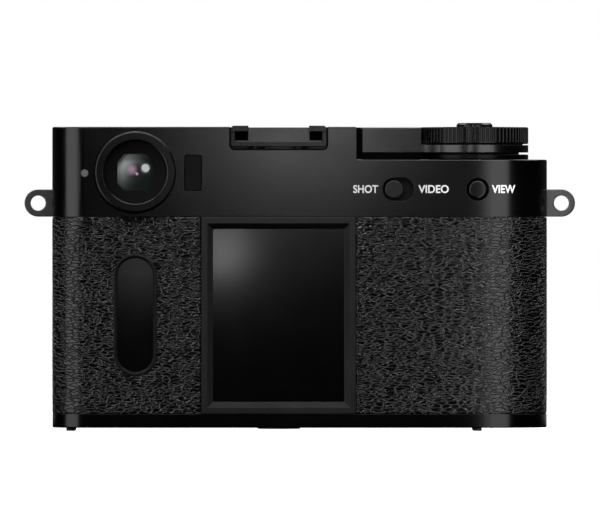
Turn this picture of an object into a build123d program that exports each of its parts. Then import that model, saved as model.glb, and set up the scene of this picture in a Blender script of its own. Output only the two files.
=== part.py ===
"""Pocket rangefinder-style camera, built as separate pieces, in millimetres.

Frame: +X to the photographer's right, +Y forwards along the lens axis, +Z up.
The origin is on the axis of the tripod socket, at the outer face of the base plate,
straight below the lens axis. The rear of the body faces -Y.
Each function returns one named piece, and the table at the end writes one STEP for each.
"""
from build123d import *
from math import asin, cos, radians, sin
import os

# ---- Body ----------------------------------------------------------------------------------------
BODY_LEFT, BODY_RIGHT = -48.4, 57.4      # ends of the body, from the lens axis
BODY_DEPTH = 24.0                        # leather to leather, without lens and eyepiece
HALF_DEPTH = BODY_DEPTH / 2
LEFT_RADIUS = 7.0                        # plan corners of the viewfinder end
RIGHT_RADIUS = HALF_DEPTH                # the grip end is a full half round
BASE_TOP = 2.93                          # seam between base plate and leather
COVER_BOTTOM = 45.07                     # seam between leather and top cover
STEP_TOP = 57.3                          # lowered deck that carries the dial
COVER_TOP = 64.27
STEP_X = 16.6                            # shoulder between the two decks, at the rear
FRONT_STEP_X, RECESS_FRONT = 33.0, 4.5   # the high deck runs on in front of the lever
DIAL_WELL_R = 12.3                       # its end curves round the dial
WALL = 1.4                               # casing walls
LEATHER = 0.5                            # covering, glued on the body shell
SEAM = 0.05                              # hairline left at each seam
EDGE = 0.35                              # rounding of the casing's outer edges
SHELL_OUT, SHELL_IN = LEATHER, LEATHER + WALL
SHELL_REAR, SHELL_BACK = -(HALF_DEPTH - SHELL_OUT), -(HALF_DEPTH - SHELL_IN)
DECK_UNDER = STEP_TOP - WALL
ROOF_UNDER = COVER_TOP - WALL
COVER_INSIDE = HALF_DEPTH - WALL

# ---- Rear screen ---------------------------------------------------------------------------------
SCREEN_Z = 24.0                          # mid-height of the leather zone
BEZEL_W, BEZEL_H = 32.9, 42.04
GLASS_W, GLASS_H = 28.0, 36.9            # visible glass
BEVEL = 1.15                             # sloping edge round the glass
BEZEL_FACE = -HALF_DEPTH - 0.25
COLLAR_W, COLLAR_H = 30.2, 38.9          # the part of the bezel inside the shell

# ---- Small upright screen ------------------------------------------------------------------------
SUB_X, SUB_Z = -30.6, 24.1
SUB_W, SUB_H = 9.3, 26.0
SUB_RING = 0.85                          # width of its bezel ring

# ---- Viewfinder ----------------------------------------------------------------------------------
EYE_X, EYE_Z = -30.55, 54.56
EYE_R = 8.7                              # eyepiece ring
EYE_FACE = 13.8                          # its outer face, behind the lens axis origin
EYE_ROUND = 0.45                         # rounding of both edges of that face
EYE_WINDOW_W, EYE_WINDOW_H, EYE_WINDOW_R = 7.7, 7.9, 1.8

# ---- Rear controls -------------------------------------------------------------------------------
STATUS_X, STATUS_Z, STATUS_W, STATUS_H = -18.25, 54.4, 3.4, 7.4
STATUS_GAP = 0.18                        # dark line round the status window
LAMP_X, LAMP_Z, LAMP_R = -41.4, 54.37, 0.8
CONTROL_Z = 50.92                        # height of slide switch and play button
SLOT_X, SLOT_W, SLOT_H = 25.54, 6.8, 5.0
SLIDER_X, SLIDER_R, SLIDER_TRAVEL = 24.62, 1.92, 1.8
PLAY_X, PLAY_R, PLAY_WELL_R = 42.44, 1.86, 2.48

# ---- Dial stack on the lowered deck --------------------------------------------------------------
DIAL_X, DIAL_Y, DIAL_R = 41.9, 0.0, 11.52
POST_R = 6.0
RUNNING = 0.05                           # radial clearance of everything that turns
POWER_Z = (STEP_TOP + 0.06, 58.4)
POWER_TAB_ANGLE = 70                     # from +X, with the ring at its off position
LEVER_Z = (58.85, 60.4)
DIAL_Z = (60.65, 64.24)
LOWER_WASHER_R, UPPER_WASHER_R = 9.5, 10.3
DIAL_RIBS = 80
TAB_LEFT, TAB_RIGHT, TAB_TOP = 17.6, 30.4, 64.1
TAB_REAR, TAB_FRONT, TAB_ROUND = -8.2, -4.8, 0.35
BUTTON_R, BUTTON_TOP, BUTTON_TRAVEL = 3.85, 65.16, 0.7
RELEASE_R, RELEASE_DEPTH = 1.45, 3.0     # cable release socket in the button

# ---- Accessory shoe (ISO 518) --------------------------------------------------------------------
SHOE_HALF, SHOE_BOTTOM, SHOE_TOP = 10.2, 60.1, 64.5
SHOE_FLOOR, SHOE_LIP = 61.0, 63.3
SHOE_SLOT_HALF, SHOE_GAP_HALF = 9.35, 6.5
SHOE_FRONT = 6.6
SHOE_GROOVE_X = 7.3                      # small upright grooves in the rear ends of the lips
NOTCH_HALF, NOTCH_FLOOR, NOTCH_FRONT = 10.5, 59.6, 7.0
SPRING_T = 0.3

# ---- Strap lugs ----------------------------------------------------------------------------------
LUG_Z, LUG_R, LUG_HOLE_R, LUG_OUT, LUG_T = 48.02, 2.92, 1.6, 3.1, 1.9
LUG_REACH = 5.05                         # from the eye to the face of the inner foot

# ---- Base ----------------------------------------------------------------------------------------
TRIPOD_R, TRIPOD_DEPTH = 2.55, 5.5       # minor radius of the 1/4 inch thread
BOSS_R, BOSS_DROP = 4.62, 0.3
FOOT_R, FOOT_DROP = 0.96, 0.65
FEET = [(-44.4, -9.3), (-44.4, 9.3), (42.4, -9.8), (42.4, 9.8)]
BASE_SCREWS = [(-40.0, 0.0), (-24.0, -8.0), (-24.0, 8.0), (9.0, -8.0), (9.0, 8.0), (53.6, 0.0)]
DOOR_HINGE_X, DOOR_HINGE_Z, DOOR_BARREL = 17.5, 0.75, 0.75
DOOR_END, DOOR_HALF, DOOR_T = 50.5, 8.2, 1.3
LATCH_X, LATCH_TRAVEL = 44.0, 2.5
GAP = 0.1                                # air round each door

# ---- Socket door on the viewfinder end -----------------------------------------------------------
PORT_HINGE_X, PORT_HINGE_Z, PORT_BARREL = -47.2, 10.2, 1.1
PORT_TOP, PORT_HALF = 22.4, 4.2
STUB_R, STUB_OUT = 0.35, 0.55            # stub pins that both doors swing on

# ---- Battery and card ----------------------------------------------------------------------------
BATTERY = (19.5, 49.0, -7.4, 3.6, 3.4, 43.4)
CARD = (22.0, 46.0, 5.3, 7.4, 3.6, 35.6)
BOX_WALL, BOX_SPARE, BOX_TOP = 0.8, 0.2, 46.0

# ---- Lens, on an axis along +Y -------------------------------------------------------------------
LENS_Z = 24.0
BARREL_R, BARREL_IN = 16.5, 15.2
FLANGE_R, FLANGE_FACE = 20.0, 14.2
APERTURE_RING = (18.4, 14.4, 19.9)       # radius, rear face, front face
FOCUS_RING = (18.9, 20.1, 26.6)
NOSE_R, NOSE_REAR, NOSE_FACE = 17.6, 26.8, 32.0
FILTER_R, FILTER_DEPTH = 15.0, 3.0
BARREL_FRONT = NOSE_FACE - FILTER_DEPTH
GLASS_R = 8.0
STOP_R = 6.2                             # fully open stop
BLADES, BLADE_T, BLADE_PITCH = 5, 0.15, 0.25
BLADE_REAR, BLADE_OUT, BLADE_SPAN = 18.3, 11.0, 150
PIVOT_R, PIN_R = 12.2, 0.5
IRIS_FLOOR, IRIS_ROOF, IRIS_WALL_R = 18.2, 19.65, 13.6


# ---- Smaller sizes, and those that follow from the ones above ------------------------------------
GLASS_FACE = BEZEL_FACE + BEVEL + 0.1
SLIDER_FLOOR = -HALF_DEPTH + 0.8
PLAY_FLOOR = -HALF_DEPTH + 0.95
PLAY_STEM_R = 1.15
WINDOW_W, WINDOW_H, WINDOW_CORNER = 12.6, 9.4, 0.9
FLASH_X, FLASH_W, FLASH_H = -14.6, 8.6, 6.2
ASSIST_X, ASSIST_R = 9.5, 1.9
MIC_X, MIC_Y = -19.0, 6.0
SHOE_SCREWS = [(-4.6, -7.6), (4.6, -7.6), (-4.6, 2.6), (4.6, 2.6)]
BUSH_R = 3.6
SCREW_R, SCREW_LENGTH = 0.8, 4.2
BOSS_TOP = 4.9                           # screw bosses of the frame
STEM_R = 2.6
PLATE_R = 10.4


# ---- Helpers -------------------------------------------------------------------------------------
def block(x0, x1, y0, y1, z0, z1):
    """Box between two corners."""
    return Pos((x0 + x1) / 2, (y0 + y1) / 2, (z0 + z1) / 2) * Box(x1 - x0, y1 - y0, z1 - z0)


def rod_z(radius, z0, z1, x=0.0, y=0.0):
    return Pos(x, y, (z0 + z1) / 2) * Cylinder(radius, z1 - z0)


def rod_y(radius, y0, y1, x, z):
    return Pos(x, (y0 + y1) / 2, z) * Rot(90, 0, 0) * Cylinder(radius, y1 - y0)


def rod_x(radius, x0, x1, y, z):
    return Pos((x0 + x1) / 2, y, z) * Rot(0, 90, 0) * Cylinder(radius, x1 - x0)


def panel(width, height, radius, y0, y1, x, z):
    """Plate with rounded corners that faces along Y."""
    face = Pos(x, y1, z) * Rot(90, 0, 0) * RectangleRounded(width, height, radius)
    return extrude(face, y1 - y0)


def pill(width, height, y0, y1, x, z):
    """Upright or lying plate with fully round ends that faces along Y."""
    return panel(width, height, min(width, height) / 2 - 0.001, y0, y1, x, z)


def turned(*points):
    """Solid of revolution about Z from its (radius, height) corners."""
    outline_points = [(r, 0, h) for r, h in points]
    return revolve(make_face(Polyline(*outline_points, close=True)), Axis.Z)


def dome(radius, vertex, sag):
    """Arc from the axis to the rim of a lens surface, in the (radius, height) plane."""
    curve = (radius ** 2 + sag ** 2) / (2 * sag)
    half = asin(radius / abs(curve)) / 2
    mid = (abs(curve) * sin(half), 0, vertex - curve + curve * cos(half))
    return ThreePointArc((0, 0, vertex), mid, (radius, 0, vertex - sag))


def lens_solid(radius, rear, rear_sag, front, front_sag):
    """Glass element about Z. A positive sag on the front and a negative one on the rear bulge out."""
    front_arc = dome(radius, front, front_sag)
    rear_arc = dome(radius, rear, rear_sag)
    rim = Line((radius, 0, front - front_sag), (radius, 0, rear - rear_sag))
    axis = Line((0, 0, rear), (0, 0, front))
    return revolve(make_face([front_arc, rim, rear_arc, axis]), Axis.Z)


def outline(inset=0.0):
    """Plan of the body, moved in by inset: tight corners on the left, a half round on the right."""
    left, right, half = BODY_LEFT + inset, BODY_RIGHT - inset, HALF_DEPTH - inset
    corner = LEFT_RADIUS - inset
    cx, cy = left + corner, half - corner
    d = corner * cos(radians(45))
    end = right - half
    lines = [
        Line((cx, -half), (end, -half)),
        ThreePointArc((end, -half), (right, 0), (end, half)),
        Line((end, half), (cx, half)),
        ThreePointArc((cx, half), (cx - d, cy + d), (left, cy)),
        Line((left, cy), (left, -cy)),
        ThreePointArc((left, -cy), (cx - d, -cy - d), (cx, -half)),
    ]
    return make_face(lines)


def prism(face, z0, z1):
    return extrude(Pos(0, 0, z0) * face, z1 - z0)


def on_lens(solid):
    """Puts a solid made about Z on the lens axis, with its +Z along +Y."""
    return Pos(0, 0, LENS_Z) * Rot(-90, 0, 0) * solid


def on_eyepiece(solid):
    """Puts a solid made about Z on the viewfinder axis, with its +Z along -Y."""
    return Pos(EYE_X, 0, EYE_Z) * Rot(90, 0, 0) * solid


def on_dial(solid):
    return Pos(DIAL_X, DIAL_Y, 0) * solid


def around(count, solid, radius=0.0, start=0.0):
    """Copies of a solid round the Z axis, each moved out to radius."""
    turns = [start + 360 * i / count for i in range(count)]
    return [Rot(0, 0, turn) * Pos(radius, 0, 0) * solid for turn in turns]


def top_edges(solid, z):
    return solid.faces().filter_by_position(Axis.Z, z - 0.01, z + 0.01).edges()


# ---- Casing --------------------------------------------------------------------------------------
def lowered_deck(margin):
    """Space over the lower deck: a recess for the lever at the rear, and all of the dial end."""
    low, high = STEP_TOP - 4, COVER_TOP + 1
    space = block(STEP_X - margin, BODY_RIGHT + 1, -20, RECESS_FRONT + margin, low, high)
    space += block(FRONT_STEP_X - margin, BODY_RIGHT + 1, -20, 20, low, high)
    return space + rod_z(DIAL_WELL_R + margin, low, high, DIAL_X, DIAL_Y)


def top_cover():
    low = prism(outline(), COVER_BOTTOM, STEP_TOP)
    low = fillet(top_edges(low, STEP_TOP), EDGE)
    high = prism(outline(), STEP_TOP - 3, COVER_TOP)
    high -= lowered_deck(0.0)
    high = fillet(top_edges(high, COVER_TOP), EDGE)
    cavity = prism(outline(WALL), COVER_BOTTOM - 1, DECK_UNDER)
    attic = prism(outline(WALL), DECK_UNDER - 1, ROOF_UNDER)
    attic -= lowered_deck(WALL)
    pan_half, pan_front = NOTCH_HALF + WALL, NOTCH_FRONT + WALL
    pan = block(-pan_half, pan_half, -20, pan_front, NOTCH_FLOOR - WALL, COVER_TOP)
    cover = low + high - cavity - (attic - pan)
    rise = 12.0
    cover -= panel(2 * NOTCH_HALF, rise, 0.8, -20, NOTCH_FRONT, 0, NOTCH_FLOOR + rise / 2)
    for x, y in SHOE_SCREWS:
        cover -= rod_z(0.8, NOTCH_FLOOR - 2, NOTCH_FLOOR + 1, x, y)
    # rear openings
    cover -= rod_y(7.55, -20, 0, EYE_X, EYE_Z)
    hole_w, hole_h = STATUS_W + 2 * STATUS_GAP, STATUS_H + 2 * STATUS_GAP
    cover -= panel(hole_w, hole_h, 0.5, -20, 0, STATUS_X, STATUS_Z)
    cover -= rod_y(LAMP_R, -20, 0, LAMP_X, LAMP_Z)
    cover -= pill(SLOT_W, SLOT_H, -20, SLIDER_FLOOR, SLOT_X, CONTROL_Z)
    cover -= pill(4.1, 2.2, -20, 0, SLIDER_X + SLIDER_TRAVEL / 2, CONTROL_Z)
    cover -= rod_y(PLAY_WELL_R, -20, PLAY_FLOOR, PLAY_X, CONTROL_Z)
    cover -= rod_y(PLAY_STEM_R + RUNNING, -20, 0, PLAY_X, CONTROL_Z)
    # front openings
    cover -= panel(WINDOW_W, WINDOW_H, WINDOW_CORNER, 0, 20, EYE_X, EYE_Z)
    cover -= panel(FLASH_W, FLASH_H, WINDOW_CORNER, 0, 20, FLASH_X, EYE_Z)
    cover -= rod_y(ASSIST_R, 0, 20, ASSIST_X, EYE_Z)
    # dial post, strap lugs and microphone
    cover -= rod_z(POST_R, 50, 60, DIAL_X, DIAL_Y)
    for x in (BODY_LEFT, BODY_RIGHT):
        cover -= block(x - 3, x + 3, -LUG_T / 2, LUG_T / 2, COVER_BOTTOM - 1, LUG_Z + LUG_R)
    for x in (-1.2, 0.0, 1.2):
        cover -= rod_z(0.3, COVER_TOP - 3, COVER_TOP + 1, MIC_X + x, MIC_Y)
    return cover


def body_shell():
    shell = prism(outline(SHELL_OUT), BASE_TOP, COVER_BOTTOM) - prism(outline(SHELL_IN), 0, 60)
    shell -= panel(COLLAR_W, COLLAR_H, 0.5, -20, 0, 0, SCREEN_Z)
    shell -= pill(SUB_W - 0.8, SUB_H - 0.8, -20, 0, SUB_X, SUB_Z)
    shell -= rod_y(BARREL_R, 0, 20, 0, LENS_Z)
    shell -= port_opening()
    stub = STUB_OUT + RUNNING + GAP
    shell -= rod_y(STUB_R + RUNNING, -PORT_HALF - stub, PORT_HALF + stub, PORT_HINGE_X, PORT_HINGE_Z)
    return shell


def leather(side):
    """Covering of one end, from the screen bezel round to the lens axis."""
    wrap = prism(outline(), BASE_TOP + SEAM, COVER_BOTTOM - SEAM) - prism(outline(LEATHER), 0, 60)
    rear_edge = BEZEL_W / 2 + SEAM
    if side == "left":
        wrap -= block(-rear_edge, 90, -20, 0, 0, 60) + block(-SEAM / 2, 90, -1, 20, 0, 60)
        wrap -= pill(SUB_W + 2 * SEAM, SUB_H + 2 * SEAM, -20, 0, SUB_X, SUB_Z)
        wrap -= port_opening()
    else:
        wrap -= block(-90, rear_edge, -20, 0, 0, 60) + block(-90, SEAM / 2, -1, 20, 0, 60)
    return wrap - rod_y(FLANGE_R + SEAM, 0, 20, 0, LENS_Z)


def base_plate():
    plate = prism(outline(), 0, BASE_TOP)
    plate = fillet(top_edges(plate, 0), EDGE)
    plate -= prism(outline(WALL), WALL, 10)
    plate -= rod_z(BOSS_R, -1, 5)
    for x, y in BASE_SCREWS:
        plate -= Pos(x, y) * screw_seat(0.0)
    for x, y in FEET:
        plate -= rod_z(0.6, -1, 0.8, x, y)
    hinge_side, half = DOOR_HINGE_X - DOOR_BARREL - GAP, DOOR_HALF + GAP
    opening = block(hinge_side, DOOR_END + GAP, -half, half, -1, 5)
    opening = fillet(opening.edges().filter_by(Axis.Z).group_by(Axis.X)[-1], 3.0)
    plate -= opening
    stub = DOOR_HALF + STUB_OUT + RUNNING + GAP
    plate -= rod_y(STUB_R + RUNNING, -stub, stub, DOOR_HINGE_X, DOOR_HINGE_Z)
    return plate


def chassis_frame():
    """Cast frame: a front plate behind the lens, a bottom shelf, and the battery and card box."""
    frame = block(-42, 18.5, 8.8, 9.9, 3.2, 47.4) - rod_y(BARREL_R + GAP, 5, 12, 0, LENS_Z)
    frame += block(-42, 18.5, -9.0, 9.9, 3.2, 4.4)
    frame -= rod_z(BUSH_R, 0, 10)
    x0, x1, y0, y1, z0, z1 = BATTERY
    grow = BOX_WALL + BOX_SPARE
    case = block(x0 - grow, x1 + grow, y0 - grow, y1 + grow, 3.0, BOX_TOP)
    cx0, cx1, cy0, cy1, cz0, cz1 = CARD
    case += block(cx0 - grow, cx1 + grow, y1, cy1 + grow, 3.0, cz1 + grow)
    case -= block(x0 - BOX_SPARE, x1 + BOX_SPARE, y0 - BOX_SPARE, y1 + BOX_SPARE, 0, BOX_TOP - BOX_WALL)
    case -= block(cx0 - BOX_SPARE, cx1 + BOX_SPARE, cy0 - BOX_SPARE, cy1 + BOX_SPARE, 0, cz1 + BOX_SPARE)
    frame += case
    frame += block(x1 + 0.5, 53.6, -0.6, 0.6, 3.0, BOSS_TOP)
    for x, y in BASE_SCREWS:
        frame += rod_z(1.7, WALL + GAP, BOSS_TOP, x, y)
    for x, y in BASE_SCREWS:
        frame -= rod_z(SCREW_R, 0, SCREW_LENGTH + 0.5, x, y)
    return frame


def screw_seat(top):
    """Countersunk hole for a case screw whose head faces down at the height top."""
    return turned(
        (0, top - 1), (1.5, top - 1), (1.5, top + 0.15), (0.85, top + 0.8), (0.85, top + 3), (0, top + 3)
    )


def case_screw():
    """Countersunk cross-head screw about Z, head down, its face at zero."""
    body = turned(
        (0, 0.05), (1.42, 0.05), (1.42, 0.2), (SCREW_R, 0.8), (SCREW_R, SCREW_LENGTH), (0, SCREW_LENGTH)
    )
    cross = Box(1.7, 0.32, 0.7) + Box(0.32, 1.7, 0.7)
    return body - Pos(0, 0, 0.3) * cross


def case_screws():
    """Six screws in the base and four in the floor of the accessory shoe."""
    screws = [Pos(x, y) * case_screw() for x, y in BASE_SCREWS]
    small = scale(case_screw(), 0.8)
    screws += [Pos(x, y, SHOE_FLOOR + SPRING_T) * Rot(180, 0, 0) * small for x, y in SHOE_SCREWS]
    return screws


def base_feet():
    feet = []
    for x, y in FEET:
        foot = rod_z(FOOT_R, -FOOT_DROP, 0, x, y)
        foot = fillet(foot.edges().group_by(Axis.Z)[0], 0.2)
        feet.append(foot + rod_z(0.6, -0.1, 0.8, x, y))
    return feet


def tripod_bush():
    bush = turned(
        (0, -BOSS_DROP), (BOSS_R, -BOSS_DROP), (BOSS_R, WALL), (BUSH_R, WALL), (BUSH_R, 6.6), (0, 6.6)
    )
    bush = chamfer(bush.edges().filter_by_position(Axis.Z, -BOSS_DROP - 0.01, -BOSS_DROP + 0.01), 0.15)
    return bush - rod_z(TRIPOD_R, -1, TRIPOD_DEPTH)


def strap_lugs():
    lugs = []
    for edge, way in ((BODY_LEFT, -1), (BODY_RIGHT, 1)):
        eye = edge + way * LUG_OUT
        foot = eye - way * LUG_REACH
        ear = rod_y(LUG_R, -LUG_T / 2, LUG_T / 2, eye, LUG_Z)
        ear += block(min(eye, foot), max(eye, foot), -LUG_T / 2, LUG_T / 2, LUG_Z - LUG_R, LUG_Z + LUG_R)
        ear -= rod_y(LUG_HOLE_R, -5, 5, eye, LUG_Z)
        round_edges = ear.edges().filter_by(GeomType.CIRCLE)
        ear = fillet(round_edges, 0.25)
        inner = foot - way * 0.9
        ear += block(min(foot, inner), max(foot, inner), -3.0, 3.0, LUG_Z - 2.6, LUG_Z + 2.6)
        lugs.append(ear)
    return lugs


# ---- Doors ---------------------------------------------------------------------------------------
def battery_door():
    door = block(DOOR_HINGE_X, DOOR_END, -DOOR_HALF, DOOR_HALF, 0, DOOR_T)
    door = fillet(door.edges().filter_by(Axis.Z).group_by(Axis.X)[-1], 2.9)
    door += rod_y(DOOR_BARREL, -DOOR_HALF, DOOR_HALF, DOOR_HINGE_X, DOOR_HINGE_Z)
    stub = DOOR_HALF + STUB_OUT
    door += rod_y(STUB_R, -stub, stub, DOOR_HINGE_X, DOOR_HINGE_Z)
    door -= block(LATCH_X - 3 - LATCH_TRAVEL, LATCH_X + 3.2, -2.6, 2.6, -1, 0.65)
    door -= block(LATCH_X - 1.2 - LATCH_TRAVEL, LATCH_X + 1.2, -1.1, 1.1, -1, 5)
    return door


def door_latch():
    thumb = block(LATCH_X - 2.8, LATCH_X + 3.0, -2.4, 2.4, 0.08, 0.55)
    starts = [LATCH_X - 2.0 + 1.1 * i for i in range(4)]
    ribs = [block(x, x + 0.5, -1.8, 1.8, -0.12, 0.1) for x in starts]
    thumb += ribs
    stem = block(LATCH_X - 1.0, LATCH_X + 1.0, -1.0, 1.0, 0.5, 1.5)
    tongue = block(LATCH_X - 2.5, DOOR_END - 0.25, -2.2, 2.2, DOOR_T + 0.05, DOOR_T + 0.75)
    return thumb + stem + tongue


def port_opening():
    return block(
        BODY_LEFT - 5, -44, -PORT_HALF - GAP, PORT_HALF + GAP,
        PORT_HINGE_Z - PORT_BARREL - GAP, PORT_TOP + GAP,
    )


def port_door():
    door = block(PORT_HINGE_X - PORT_BARREL, -47.0, -PORT_HALF, PORT_HALF, PORT_HINGE_Z, PORT_TOP)
    door += rod_y(PORT_BARREL, -PORT_HALF, PORT_HALF, PORT_HINGE_X, PORT_HINGE_Z)
    stub = PORT_HALF + STUB_OUT
    door += rod_y(STUB_R, -stub, stub, PORT_HINGE_X, PORT_HINGE_Z)
    nick = rod_y(0.9, -1.6, 1.6, PORT_HINGE_X - PORT_BARREL - 0.45, PORT_TOP)
    return door - nick


def usb_socket():
    shell = Pos(-42.0, 0, 17.0) * Rot(0, 90, 0) * extrude(RectangleRounded(9.0, 3.2, 1.5), 3.9, both=True)
    mouth = Pos(-45.9, 0, 17.0) * Rot(0, 90, 0) * extrude(RectangleRounded(8.4, 2.6, 1.25), 6.2)
    tongue = block(-45.2, -40.0, -0.35, 0.35, 13.6, 20.4)
    return shell - mouth + tongue


# ---- Screens -------------------------------------------------------------------------------------
def frustum(width, height, y0, grow, y1):
    """Four-sided taper along Y: width by height at y0, larger by grow on every side at y1."""
    small = Pos(0, y0, SCREEN_Z) * Rot(90, 0, 0) * Rectangle(width, height)
    large = Pos(0, y1, SCREEN_Z) * Rot(90, 0, 0) * Rectangle(width + 2 * grow, height + 2 * grow)
    return loft([small, large])


def screen_bezel():
    bezel = panel(BEZEL_W, BEZEL_H, 0.15, BEZEL_FACE, SHELL_REAR, 0, SCREEN_Z)
    bezel = chamfer(bezel.faces().sort_by(Axis.Y)[0].edges(), 0.12)
    bezel += panel(COLLAR_W - 0.1, COLLAR_H - 0.1, 0.45, SHELL_REAR, SHELL_BACK, 0, SCREEN_Z)
    bezel -= panel(GLASS_W, GLASS_H, 0.45, -20, 0, 0, SCREEN_Z)
    bezel -= panel(GLASS_W + 1.2, GLASS_H + 1.2, 0.6, GLASS_FACE, 0, 0, SCREEN_Z)
    over = 0.05
    slope = frustum(GLASS_W + 0.1, GLASS_H + 0.1, BEZEL_FACE + BEVEL, BEVEL + over, BEZEL_FACE - over)
    return bezel - slope


def screen_glass():
    return panel(GLASS_W + 1.1, GLASS_H + 1.1, 0.55, GLASS_FACE, GLASS_FACE + 0.8, 0, SCREEN_Z)


def screen_panel():
    return panel(GLASS_W + 1.0, GLASS_H + 1.0, 0.3, GLASS_FACE + 0.85, GLASS_FACE + 2.6, 0, SCREEN_Z)


def sub_screen_bezel():
    ring = pill(SUB_W, SUB_H, -HALF_DEPTH - 0.15, SHELL_REAR, SUB_X, SUB_Z)
    ring = chamfer(ring.faces().sort_by(Axis.Y)[0].edges(), 0.15)
    ring -= pill(SUB_W - 2 * SUB_RING, SUB_H - 2 * SUB_RING, -20, 0, SUB_X, SUB_Z)
    inner_rim = ring.faces().sort_by(Axis.Y)[0].inner_wires()[0].edges()
    return chamfer(inner_rim, 0.4)


def sub_screen_glass():
    return pill(SUB_W - 0.9, SUB_H - 0.9, SHELL_REAR, SHELL_REAR + 0.8, SUB_X, SUB_Z)


def sub_screen_panel():
    return panel(SUB_W - 1.0, SUB_H - 1.0, 1.0, SHELL_REAR + 0.85, SHELL_REAR + 2.3, SUB_X, SUB_Z) & pill(
        SUB_W - 0.9, SUB_H - 0.9, -20, 0, SUB_X, SUB_Z
    )


# ---- Viewfinder and windows ----------------------------------------------------------------------
def eyepiece_ring():
    ring = turned(
        (6.25, 10.2), (7.55, 10.2), (7.55, HALF_DEPTH), (EYE_R, HALF_DEPTH), (EYE_R, EYE_FACE),
        (6.6, EYE_FACE), (6.6, 12.9), (0, 12.05), (0, 11.75), (6.25, 11.75),
    )
    face_edges = ring.edges().filter_by(GeomType.CIRCLE).group_by(Axis.Z)[-1]
    ring = fillet(face_edges, EYE_ROUND)
    window = extrude(RectangleRounded(EYE_WINDOW_W, EYE_WINDOW_H, EYE_WINDOW_R), 20)
    return on_eyepiece(ring - window)


def eyepiece_lens():
    return on_eyepiece(lens_solid(6.2, 10.3, -0.001, 11.7, 0.75))


def viewfinder_tube():
    tube = panel(16.0, 11.6, 1.0, -10.1, 10.5, EYE_X, EYE_Z)
    return tube - panel(12.4, 9.2, 0.8, -20, 20, EYE_X, EYE_Z)


def viewfinder_window():
    return panel(WINDOW_W - 0.1, WINDOW_H - 0.1, WINDOW_CORNER, COVER_INSIDE, HALF_DEPTH - 0.35, EYE_X, EYE_Z)


def status_window():
    wall = -COVER_INSIDE
    plate = panel(STATUS_W, STATUS_H, 0.4, -HALF_DEPTH + 0.12, wall, STATUS_X, STATUS_Z)
    return plate + panel(STATUS_W + 1.4, STATUS_H + 1.4, 0.6, wall, wall + 0.5, STATUS_X, STATUS_Z)


def indicator_lamp():
    return rod_y(LAMP_R - 0.02, -HALF_DEPTH - 0.04, -9.2, LAMP_X, LAMP_Z)


def flash_window():
    return panel(FLASH_W - 0.1, FLASH_H - 0.1, WINDOW_CORNER, 8.2, HALF_DEPTH - 0.1, FLASH_X, EYE_Z)


def assist_lamp():
    lamp = rod_y(ASSIST_R - 0.03, 8.4, HALF_DEPTH + 0.15, ASSIST_X, EYE_Z)
    return fillet(lamp.edges().group_by(Axis.Y)[-1], 0.35)


# ---- Accessory shoe ------------------------------------------------------------------------------
def accessory_shoe():
    height = SHOE_TOP - SHOE_BOTTOM
    shoe = panel(2 * SHOE_HALF, height, 0.7, -HALF_DEPTH + 0.1, SHOE_FRONT, 0, SHOE_BOTTOM + height / 2)
    shoe -= block(-SHOE_SLOT_HALF, SHOE_SLOT_HALF, -20, SHOE_FRONT - 1.0, SHOE_FLOOR, SHOE_LIP)
    shoe -= block(-SHOE_GAP_HALF, SHOE_GAP_HALF, -20, 20, SHOE_FLOOR, SHOE_TOP + 1)
    for side in (-1, 1):
        wall = side * (SHOE_SLOT_HALF + SHOE_HALF + 1) / 2
        shoe -= block(
            wall - 0.95, wall + 0.95, -20, -HALF_DEPTH + 2.1, SHOE_FLOOR + SPRING_T, SHOE_LIP - 0.1
        )
        x = side * SHOE_GROOVE_X
        shoe -= block(x - 0.15, x + 0.15, -20, -HALF_DEPTH + 0.4, SHOE_LIP - 1, SHOE_TOP + 1)
    for x, y in SHOE_SCREWS:
        shoe += rod_z(1.5, NOTCH_FLOOR, SHOE_BOTTOM + 0.1, x, y)
    for x, y in SHOE_SCREWS:
        shoe -= Pos(x, y, SHOE_FLOOR + SPRING_T) * Rot(180, 0, 0) * scale(screw_seat(0.0), 0.8)
        shoe -= rod_z(0.68, NOTCH_FLOOR - 1, SHOE_FLOOR, x, y)
    return shoe


def shoe_spring():
    """Leaf spring on the floor of the shoe, with two bowed arms that press the foot up."""
    half, top = SHOE_SLOT_HALF - 0.1, SHOE_FLOOR + SPRING_T
    leaf = block(-half, half, -HALF_DEPTH + 0.3, SHOE_FRONT - 1.3, SHOE_FLOOR, top)
    for x in (-1, 1):
        leaf -= block(min(x * 6.9, x * 7.3), max(x * 6.9, x * 7.3), -8.5, 3.0, 60, 63)
        bow = Pos(x * 8.3, -2.75, top - 12.6) * Rot(0, 90, 0) * Cylinder(13.0, 1.4)
        leaf += bow & block(-half, half, -8, 4, top - 0.1, 63)
    for x, y in SHOE_SCREWS:
        leaf -= Pos(x, y, top) * Rot(180, 0, 0) * scale(screw_seat(0.0), 0.8)
    return leaf


# ---- Dial stack ----------------------------------------------------------------------------------
def dial_post():
    """Flanged tube through the deck. Everything on the deck turns on it, and the button slides in it."""
    post = turned(
        (STEM_R + RUNNING, 54.4), (8.0, 54.4), (8.0, DECK_UNDER), (POST_R, DECK_UNDER), (POST_R, 62.6),
        (4.0, 62.6), (4.0, 59.0), (STEM_R + RUNNING, 59.0),
    )
    return on_dial(post)


def dial_washers():
    """Two spacers and the retaining washer that keep the rings apart."""
    sizes = [
        (LOWER_WASHER_R, POWER_Z[1] + 0.05, LEVER_Z[0] - 0.05),
        (UPPER_WASHER_R, LEVER_Z[1] + 0.05, DIAL_Z[0] - 0.05),
        (7.8, 62.05, 62.6),
    ]
    return [on_dial(rod_z(r, z0, z1) - rod_z(POST_R, z0 - 1, z1 + 1)) for r, z0, z1 in sizes]


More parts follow.
